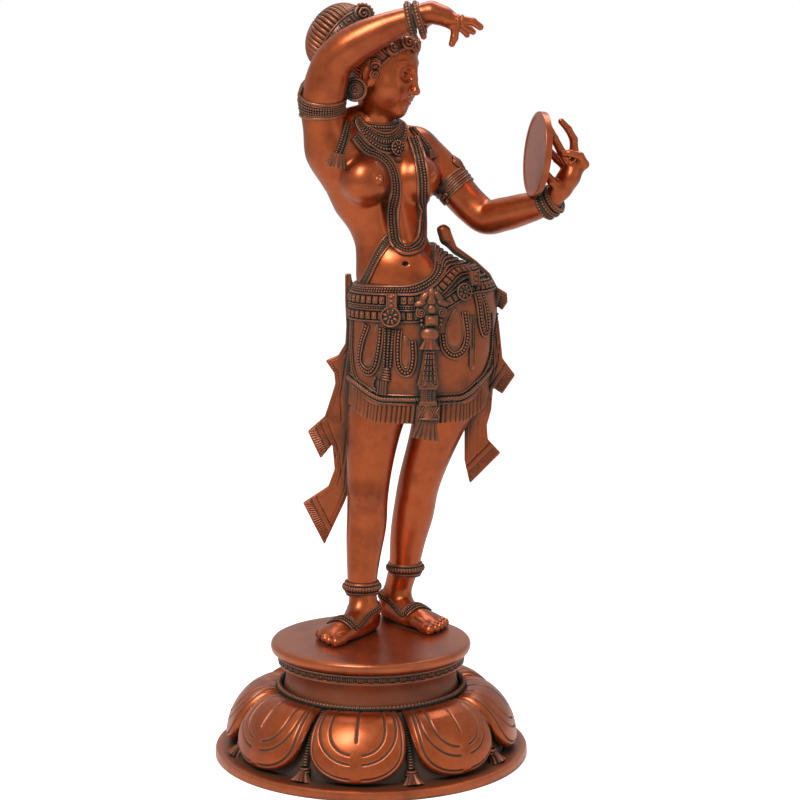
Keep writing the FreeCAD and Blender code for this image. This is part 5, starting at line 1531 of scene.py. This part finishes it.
addBall(tassel, spineAt(390) + claspOut * 3.5, (8.6, 5.0, 7.0), fine=True)
addFringe(tassel, spineAt(388) + claspOut * 3.8, spineAt(376) + claspOut * 4.2, claspOut, 9, 17, 8.5,
    9)   # cup
addFringe(tassel, spineAt(377) + claspOut * 3.6, spineAt(343.5) + claspOut * 4.0, claspOut, 9.5, 17.5, 8.5, 6)
for side in (-5.4, -1.8, 1.8, 5.4):
    for z in np.linspace(373, 346, 16):
        sideways = np.array((side * (0.5 + (376 - z) / 60), 0, 0))
        addBall(tassel, spineAt(z) + claspOut * (8.0 + (377 - z) * 0.02) + sideways, (1.15, 1.1, 1.05))
for z, half in ((342.5, 8.6), (340.5, 8.2), (327.5, 7.8), (325.3, 8.0)):
    addBlock(tassel, spineAt(max(z, 331)) * np.array((1, 1, 0)) + up * z + claspOut * 3.8, (half, 4.2, 1.0),
        np.eye(3), 0.95)
blockFoot = spineAt(331) * np.array((1, 1, 0))
addBlock(tassel, blockFoot + up * 334 + claspOut * 3.6, (7.2, 7.0, 3.4),
    np.stack([np.cross(up, claspOut), up, claspOut], axis=1) * np.array((-1, 1, 1)), 0.95)
for side in (-5, -1.7, 1.7, 5):
    for z in np.arange(329.5, 340, 2.2):
        addBall(tassel, blockFoot + up * z + claspOut * 7.2 + np.array((side, 0, 0)), (1.0, 1.0, 0.95))
hatch = blockFoot + claspOut * 5.0
addFringe(tassel, hatch + up * 325.5, hatch + up * 313 + claspOut * 1.5, claspOut, 15.5, 17, 9, 4)
for k in range(-3, 4):   # crossed lines on the band above the fringe
    for lean in (-1, 1):
        start = hatch + claspOut * 4.4 + np.array((k * 2.3 - lean * 2.6, 0, 323.5))
        end = hatch + claspOut * 5.2 + np.array((k * 2.3 + lean * 2.6, 0, 314.0))
        addTube(tassel, [start, end], 0.55, 5)
addTube(tassel, [hatch + np.array((cos(t) * 9.2, sin(t) * 5.4, 312.8)) + claspOut * 1.2
    for t in evenTurns(28)], 1.1, 7, closed=True)
addFringe(tassel, hatch + up * 313 + claspOut * 1.2, hatch + up * 294 + claspOut * 1.5
    - np.array((3.5, 0, 0)), claspOut, 16, 25, 10, 14)
tassel.piece("frontTassel")
print("girdle, clasp and tassel ready")

# ---- sashes: flat ribbons behind the hips, cut in fish tails, with sunk border lines
sashLook = {"middle": 62.5, "half": 2.6, "edgeRound": 1.8, "step": 0.65, "pleatPitch": 2.5,
    "pleatLength": 9.0, "bandLength": 5.5}
sashShapes = {
    "right": {"outline": [(-23.5, 438), (-23.5, 413), (-22.5, 390), (-23.5, 373), (-30, 362), (-42, 357),
     (-34, 345), (-33, 335), (-37, 322), (-43, 304),
                          (-59, 290), (-47, 264), (-36, 278), (-34, 254), (-40, 238), (-64, 222), (-44,
                           181), (-25, 222), (-20, 235),
                          (-16, 283), (-12, 316), (-12, 337), (-12, 425), (-17, 431), (-18, 438)],
              "tails": [((-42, 357), (-34, 345)), ((-59, 290), (-47, 264)), ((-64, 222), (-44, 181))],
              "folds": [[(-20.5, 436), (-19.5, 380), (-23, 355), (-28, 322), (-27, 300)],
               [(-40, 300), (-29, 270), (-27, 246)],
                        [(-22, 290), (-25, 262), (-31, 240)]]},
    "left": {"outline": [(73, 480), (80, 463), (98, 450), (111, 438), (118, 425), (127, 419.5), (127.5, 411),
     (122.5, 403.5), (117.5, 408), (118, 400), (119.5, 392), (123, 359), (135, 343),
                         (123, 325), (114.5, 331), (113, 310), (109, 295), (110, 282), (122, 269), (93,
                          240), (88, 262), (88, 318),
                         (100, 326), (109, 334), (112, 350), (111, 385), (110, 398), (109.5, 412), (108,
                          424), (101, 434),
                         (99, 440), (92, 447), (77, 456), (67, 466), (62, 480)],
             "tails": [((127.3, 419.5), (122.5, 403.5)), ((135, 343), (123, 325)), ((122, 269), (93, 240))],
             "folds": [[(112, 346), (117, 352), (120, 372)], [(100, 300), (99, 278), (100, 262)],
              [(108, 330), (112, 320)]]},
}


def flatDistance(x, z, run, closed):   # distance to a drawn line, and its sign if it is closed
    points = np.array(run + run[:1] if closed else run, float)
    best = np.full(x.shape, 1e6)
    inside = np.zeros(x.shape, bool)
    for (ax, az), (bx, bz) in zip(points, points[1:]):
        t = np.clip(((x - ax) * (bx - ax) + (z - az) * (bz - az)) / max((bx - ax) ** 2 + (bz - az) ** 2,
            1e-9), 0, 1)
        best = np.minimum(best, np.hypot(x - ax - t * (bx - ax), z - az - t * (bz - az)))
        if closed and az != bz:
            crossing = ((az > z) != (bz > z)) & (x < (bx - ax) * (z - az) / (bz - az) + ax)
            inside ^= crossing
    return np.where(inside, -best, best) if closed else best


for side, shape in sashShapes.items():
    outline = np.array(shape["outline"])
    low = (outline[:, 0].min() - 4, sashLook["middle"] - 7, outline[:, 1].min() - 4)
    high = (outline[:, 0].max() + 4, sashLook["middle"] + 7, outline[:, 1].max() + 5)
    ribbon = Clay(low, high, sashLook["step"])
    x, z = ribbon.axes[0][:, None], ribbon.axes[2][None, :]
    x, z = x + 0 * z, z + 0 * x
    edge = flatDistance(x, z, shape["outline"], True)
    for _ in range(3):   # corners worn round
        edge[1:-1, 1:-1] = (edge[1:-1, 1:-1] * 2 + edge[:-2, 1:-1] + edge[2:, 1:-1] + edge[1:-1, :-2]
            + edge[1:-1, 2:]) / 6
    relief = -0.9 * np.exp(-((edge + 2.0) / 0.55) ** 2) - 0.6 * np.exp(-((edge + 4.4) / 0.5) ** 2)
    for fold in shape["folds"]:
        relief -= 0.8 * np.exp(-(flatDistance(x, z, fold, False) / 0.7) ** 2)
    for tail in shape["tails"]:
        a, b = np.array(tail, float)
        rim = unit(b - a)
        inward = np.array((-rim[1], rim[0]))
        if inward @ (outline.mean(axis=0) - a) < 0:
            inward = -inward
        share = (x - a[0]) * rim[0] + (z - a[1]) * rim[1]
        deepIn = (x - a[0]) * inward[0] + (z - a[1]) * inward[1]
        length = np.linalg.norm(b - a)
        fan = (share - length / 2) / (1 - np.clip(deepIn, 0, 14) / 40)
        near = (np.abs(share - length / 2) < length * 0.62 + 1) & (deepIn > -3)
        reach = sashLook["pleatLength"] if length > 20 else 5.5
        pleat = 0.75 * np.cos(fan * 2 * pi / sashLook["pleatPitch"])
        band = 0.55 * np.cos((share + deepIn) * 2.4) * np.cos((share - deepIn) * 2.4) + 0.2
        rule = -1.1 * np.exp(-((deepIn - reach) / 0.6) ** 2) - 1.1 * np.exp(-((deepIn - reach
            - sashLook["bandLength"]) / 0.6) ** 2)
        relief = np.where(near & (deepIn < reach), pleat, relief)
        relief = np.where(near & (deepIn >= reach) & (deepIn < reach + sashLook["bandLength"]), band, relief)
        relief = np.where(near & (deepIn < reach + sashLook["bandLength"] + 1.5), relief + rule, relief)
    y = ribbon.axes[1][None, :, None] - sashLook["middle"]
    face = np.abs(y) - (sashLook["half"] + relief[:, None, :] * 0.75)
    rim3 = edge[:, None, :] + 0 * y
    r = sashLook["edgeRound"]
    ribbon.field = (np.minimum(np.maximum(face + r, rim3 + r), 0) + np.hypot(np.maximum(face + r, 0),
        np.maximum(rim3 + r, 0)) - r).astype(np.float32)
    if side == "left":   # rounded finial standing over the hip
        ribbon.bones([(69, 62.5, 470, 5.0), (67.5, 62.5, 478, 5.6)], soft=3)

    def wave(points):   # the ribbon isn't quite flat
        points = points.copy()
        points[:, 1] += 1.6 * np.sin(points[:, 2] * 0.045 + (1.0 if points[:, 0].mean() > 0 else 0.0)) - 0.8
        return points
    ribbon.piece(f"{side}Sash", reshape=wave)
print("sashes ready")

# ---- necklaces
bust = Surface([trunk, headSkin])


def settled(line, rounds=14, keep=0.0):   # evens a run's depth so that it hangs over hollows
    p = line.places.copy()
    for _ in range(rounds):
        if line.closed:
            p[:, 1] = (np.roll(p[:, 1], 1) + 2 * p[:, 1] + np.roll(p[:, 1], -1)) / 4
        else:
            p[1:-1, 1] = (p[:-2, 1] + 2 * p[1:-1, 1] + p[2:, 1]) / 4
    p[:, 1] = np.minimum(p[:, 1], line.places[:, 1] + keep)
    return Line(p, line.normals, line.closed)


# the collar's edges at the front, the sides and the back: distance from the neck's middle, height
collarLook = {"inner": ((17.5, 568.0), (17.0, 577.0), (17.0, 578.0)), "outer": ((29.0, 551.0), (27.0, 574.0),
    (26.0, 568.0))}


def collarRing(share, out=0.0, samples=170):   # share runs from the inner edge (0) to the outer edge (1)
    middle, inner, outer = (np.array(place) for place in ((5.0, 48.0, 0.0), collarLook["inner"],
        collarLook["outer"]))
    p = []
    for a in evenTurns(samples):
        direction = chestAhead * cos(a) + chestAcross * sin(a)
        ahead, behind = max(cos(a), 0) ** 1.6, max(-cos(a), 0) ** 1.6
        weights = np.array((ahead, 1 - ahead - behind, behind))
        r, h = weights @ (inner + (outer - inner) * share)
        p.append(skin.nearest(middle + direction * r + up * h)[0])
    p = np.array(p)
    for _ in range(8):
        p = (np.roll(p, 1, 0) + 2 * p + np.roll(p, -1, 0)) / 4
    normals = []
    for i, q in enumerate(p):   # nothing sinks under the skin
        place, normal = skin.nearest(q)
        p[i] = place + normal * (max(float((q - place) @ normal), 0.0) + out)
        normals.append(normal)
    return Line(p, normals, closed=True)


choker = Parts()
neckAxis = up + chestAhead * 0.34
for drop, out, radius in ((2.2, 0.2, 1.3), (0.0, 0.9, 1.9), (-2.4, 0.5, 1.2)):
    row = hoopLine(bust, np.array((4.5, 47.0, 579.0)) + up * drop, neckAxis, 30, 110)
    if radius > 1.5:
        addCord(choker, row, 0, out - 0.7, 1.4, 7)
        addBeads(choker, row, 1.6, 0, out, pitch=2.6)
    else:
        addCord(choker, row, 0, out, radius, 7)
choker.piece("choker")

collar = Parts()
addStrap(collar, collarRing(0.5), 15, 0.9, sink=3.0, arch=0.2)
addCord(collar, collarRing(0.02), 0, 1.2, 1.4, 7)
addBeads(collar, collarRing(0.17), 1.3, 0, 1.4, pitch=2.4)
addCord(collar, collarRing(0.3), 0, 1.2, 0.9, 6)
addStuds(collar, collarRing(0.46), (0.95, 2.6, 1.5), 2.5, 1.4)   # flutes
addCord(collar, collarRing(0.63), 0, 1.2, 0.9, 6)
addBeads(collar, collarRing(0.78), 1.6, 0, 1.3, pitch=2.9)
addCord(collar, collarRing(0.95), 0, 0.9, 1.5, 7)
collar.piece("collarNecklace")

pendant = Parts()
place = seenAt(skin, 23.2, 554.5)[0] + chestAhead * 3.0
pendantAxes = basis(chestAhead + up * 0.15, up)
addRosette(pendant, place, pendantAxes, 6.4, 8, 4.2)
for spot in circle(place, pendantAxes, 6.3, 14, 1.6):
    addBall(pendant, spot, 1.25)
addBall(pendant, place - up * 9.2 + chestAhead * 0.6, (3.0, 3.0, 2.4), fine=True)
for spot in circle(place - up * 10.2 + chestAhead * 0.6, np.eye(3), 2.7, 10):
    addBall(pendant, spot, (0.8, 0.8, 2.6))
pendant.piece("pendant")

chain = Parts()
chainRun = [(-14, 566), (-3, 554), (9, 548), (17.5, 540), (22.2, 527), (22.8, 511), (20.8, 495), (21.0, 480),
    (22.2, 471.5), (26, 465.8), (31.3, 463.4), (36.7, 463.4), (42, 465.8), (45.8, 471.5), (46.8, 480),
    (47.4, 495), (47.6, 511), (47.4, 526), (45.6, 540), (42.4, 553), (38.5, 564)]
loop = settled(frontLine(skin, chainRun, samples=220), 60)
flip = 1.0 if (loop.across[110] @ up) > 0 else -1.0   # +1 where across points into the loop
addStrap(chain, loop, 11.4, 0.8, sink=3.0, arch=0.1)
addCord(chain, loop, -flip * 5.0, 0.9, 1.9, 8)
addBeads(chain, loop, 1.5, -flip * 1.9, 1.2, pitch=2.6)
addBeads(chain, loop, 1.35, flip * 1.2, 1.2, pitch=2.2)
addCord(chain, loop, flip * 4.6, 0.8, 1.5, 7)
chain.piece("longChain")

strap = Parts()
strapLine = frontLine(skin, [(17.0, 474), (11.0, 465.5), (4.0, 453.5), (-1.5, 441.5), (-6.5, 431.5)])
addStrap(strap, strapLine, 8.4, 0.6, sink=2.0, arch=0.1)
addRims(strap, strapLine, 3.9, 0.7, 1.2)
addStuds(strap, strapLine, (0.9, 1.7, 1.0), 2.3, 0.9)
addRims(strap, strapLine, 2.2, 0.7, 0.55, 6)
strap.piece("waistStrap")

drops = Parts()
rightDrop = frontLine(skin, [(-20.5, 577), (-22.5, 567), (-25.5, 556), (-28, 550)])
addStrap(drops, rightDrop, 7.5, 0.9, sink=2.0)
for side in (-3.2, 0, 3.2):
    addBeads(drops, rightDrop, 1.15, side, 1.5, pitch=2.2)
place, normal = seenAt(skin, -29.8, 544.5)
normal = unit(normal + front * 0.6)
tip = place + normal * 1.4
addFringe(drops, tip + np.array((1.6, 0, 6.8)), tip + np.array((-0.8, 0, -5.6)), normal, 11.5, 17.0, 7.0, 12)
leftDrop = frontLine(skin, [(38, 572), (44.5, 564.5), (50.5, 557.5), (54.5, 551.0)])
addStrap(drops, leftDrop, 6.4, 0.9, sink=2.0)
addRims(drops, leftDrop, 2.6, 1.0, 0.9, 6)
addBeads(drops, leftDrop, 1.3, 0, 1.5, pitch=2.4)
place, normal = seenAt(skin, 55.5, 549.5)
addFringe(drops, place + normal * 1.2 + up * 3.0, place + normal * 1.4 - up * 5.0 + np.array((2.0, 0, 0)),
    normal, 7.5, 11.0, 5.0, 5)
drops.piece("shoulderTassels")
print("necklaces ready")

# ---- armlets, bangles, anklets and foot chains
rightArmSkin = Surface([bpy.data.objects["rightArm"], trunk])
leftArmSkin = Surface([bpy.data.objects["leftArm"], trunk])
armletR = Parts()
armAxis = unit((-0.10, -0.10, 1.0))


def rightHoop(height, sag):   # lower at the front, higher at the outer side
    return hoopLine(rightArmSkin, np.array((-43.0, 19.5, height)), armAxis, 26, 120, rise=lambda a: -sag
        * 1.7 * cos(a) - sag * 0.9 * sin(a))


addStrap(armletR, rightHoop(593.5, 2.6), 15, 0.5, sink=1.6, arch=0.1)
addCord(armletR, rightHoop(602.5, 4.2), 0, 0.6, 1.5, 8)
addCord(armletR, rightHoop(599.3, 3.6), 0, 0.6, 1.0, 7)
for height, sag in ((596.6, 3.2), (593.6, 2.7), (590.6, 2.2)):
    addBeads(armletR, rightHoop(height, sag), 1.35, 0, 0.8, pitch=2.3)
addCord(armletR, rightHoop(588.0, 1.8), 0, 0.6, 1.0, 7)
addCord(armletR, rightHoop(585.3, 1.4), 0, 0.6, 1.6, 8)
crestFoot, crestOut = rightArmSkin.aim((-90, 19, 604), (1, 0, 0))
for rise, depth, lean, long_, wide_ in ((4, 0, 0, 9.0, 4.6), (0, -7, -28, 7.0, 3.4), (0, 7, 28, 7.0, 3.4),
        (-5, 0, 0, 5.0, 4.4)):
    axes = basis(crestOut, up) @ np.array(Matrix.Rotation(radians(lean), 3, "Z"))
    spot = rightArmSkin.nearest(crestFoot + up * rise + np.array((0, depth * 0.6, 0)))[0]
    addBall(armletR, spot + crestOut * 0.8, (long_, wide_, 1.9), axes, fine=True)
    addBall(armletR, spot + crestOut * 2.4, (long_ * 0.66, 0.7, 0.8), axes)
armletR.piece("rightArmlet")

armletL = Parts()
leftAxis = unit(np.array((82, 63, 513.0)) - np.array((63, 69, 534.0)))
leftMiddle = np.array((77.0, 64.6, 518.5))


def leftHoop(along, wave=0.0):
    return hoopLine(leftArmSkin, leftMiddle + leftAxis * along, leftAxis, 23, 120,
        rise=(lambda a: wave * cos(a)) if wave else None)


addStrap(armletL, leftHoop(0), 14, 0.5, sink=1.6, arch=0.1)
for along in (-6.6, -2.2, 2.2, 6.6):
    addCord(armletL, leftHoop(along), 0, 0.7, 1.15, 7)
for along in (-4.4, 0, 4.4):
    addStrap(armletL, leftHoop(along), 2.8, 1.0, sink=1.0, arch=0.2)
outerSide = unit(np.cross(leftAxis, front))
outerSide = outerSide if outerSide[2] > 0 else -outerSide
for lean, shift, long_, wide_ in ((0, 0, 10.5, 5.0), (-26, -4.5, 7.5, 3.4),
        (26, 4.5, 7.5, 3.4)):   # leaf crest up the arm
    direction = unit(outerSide + front * (0.35 + shift * 0.04))
    spot, facing = leftArmSkin.aim(leftMiddle - leftAxis * 12 + direction * 40, -direction)
    axes = basis(facing, -leftAxis) @ np.array(Matrix.Rotation(radians(lean), 3, "Z"))
    addBall(armletL, spot + facing * 0.6, (long_, wide_, 1.7), axes, fine=True)
    addBall(armletL, spot + facing * 2.0, (long_ * 0.7, 0.7, 0.8), axes)
for k, (rise, out) in enumerate(((0, 0), (4.4, 1.5), (-4.4, -1.0), (0.5, 5.0),
        (0.2, -5.0))):   # knot of leaves under the arm's inner side
    direction = unit(-outerSide + front * 0.9)
    spot, facing = leftArmSkin.aim(leftMiddle + leftAxis * (out + 1) + direction * 40, -direction)
    axes = basis(facing, np.cross(leftAxis, facing)) @ np.array(Matrix.Rotation(k * 1.25, 3, "Z"))
    addBall(armletL, spot + facing * 1.4 + np.cross(leftAxis, facing) * rise, (3.6, 2.0, 1.8), axes,
        fine=True)
armletL.piece("leftArmlet")


def loose(parts, centre, axis, radius, thick, bead):   # a loose bangle: cord with beads round it
    centre = np.array(centre, float)
    ring = circle(centre, basis(axis, up), radius, 60)
    line = Line(ring, [unit(p - centre) for p in ring], closed=True)
    addCord(parts, line, 0, 0, thick, 9)
    addRims(parts, line, thick * 0.775, thick * 0.35, thick * 0.42, 6)
    addBeads(parts, line, bead, 0, thick * 0.72, pitch=bead * 1.6)


bangles = {"right": [((35.5, -7.0, 668.5), (1, -0.12, 0.22), 12.6, 2.6, 1.9),
    ((43.5, -8.0, 669.0), (1, -0.12, 0.30), 12.8, 2.6, 1.9)], "left": [((157.5, 11.0, 505.3), (12, -8, 6),
    12.2, 2.3, 1.7), ((161.3, 8.4, 507.4), (12, -8, 7), 12.0, 2.3, 1.7), ((165.0, 6.2, 509.9), (12, -7, 8),
    11.4, 2.2, 1.6)]}
for side, rings in bangles.items():
    group = Parts()
    for ring in rings:
        loose(group, *ring)
    group.piece(f"{side}Bangles")

def levelRing(centre, radius, height):   # a flat ring's run that faces outwards
    level = np.eye(3)
    return Line(circle(np.array(centre), level, radius, 80, height), circle(np.zeros(3), level, 1.0, 80),
        closed=True)


for side, centre in (("right", (-8.5, 30.0, 148.0)), ("left", (32.5, 66.5, 157.5))):
    anklet = Parts()
    for dz, radius, kind in ((4.6, 14.9, 1.8), (0.8, 15.2, 0), (-3.6, 14.6, 1.7)):
        line = levelRing(centre, radius, dz)
        if kind:
            addCord(anklet, line, 0, 0, kind, 8)
        else:
            addCord(anklet, line, 0, 0.2, 2.6, 9)
            addStuds(anklet, line, (1.2, 2.9, 1.7), 2.7, 1.8)
    addCord(anklet, levelRing(centre, 15.4, -6.0), 0, -1.4, 1.2, 7)
    anklet.piece(f"{side}Anklet")

for side, look in footLook.items():
    footSkin = Surface([bpy.data.objects[f"{side}Foot"]])
    heel, axes, length = footFrame(look)
    at = lambda *p: heel + axes @ np.array(p)
    chainParts = Parts()
    run = layLine(footSkin, [at(*p) for p in ((0, 0, 25), (8, 12, 25), (22, 14, 21), (36, 16, 15),
        (45, 16, 12), (47, 8, 18), (47, 0, 19), (46, -8, 17), (44, -15, 12), (34, -15, 14), (20, -13, 20),
        (8, -12, 25))], samples=150, closed=True)
    addStrap(chainParts, run, 4.6, 0.7, sink=1.2, arch=0.2)
    addRims(chainParts, run, 2.3, 0.6, 0.9, 6)
    addStuds(chainParts, run, (0.9, 1.8, 1.1), 2.3, 1.1)
    plaque = layLine(footSkin, [at(*p) for p in ((49, 15, 12), (50, 9, 16), (50, 0, 17), (49, -8, 15),
        (47, -14, 11))], samples=40)
    addStrap(chainParts, plaque, 8.6, 1.3, sink=1.5, arch=0.15)
    addRims(chainParts, plaque, 4.0, 1.2, 0.95)
    for row in (-1.5, 1.5):
        addBeads(chainParts, plaque, 1.2, row, 1.9, pitch=2.2)
    chainParts.piece(f"{side}FootChain")

for node in ("fixing_stud", "fixing_washer", "fixing_nut", "foot_pegs"):   # CAD pieces that stay
    for materialSlot in frame["nodes"][node].material_slots:
        materialSlot.material = finishes[slotOf[node]]
print("jewellery ready")
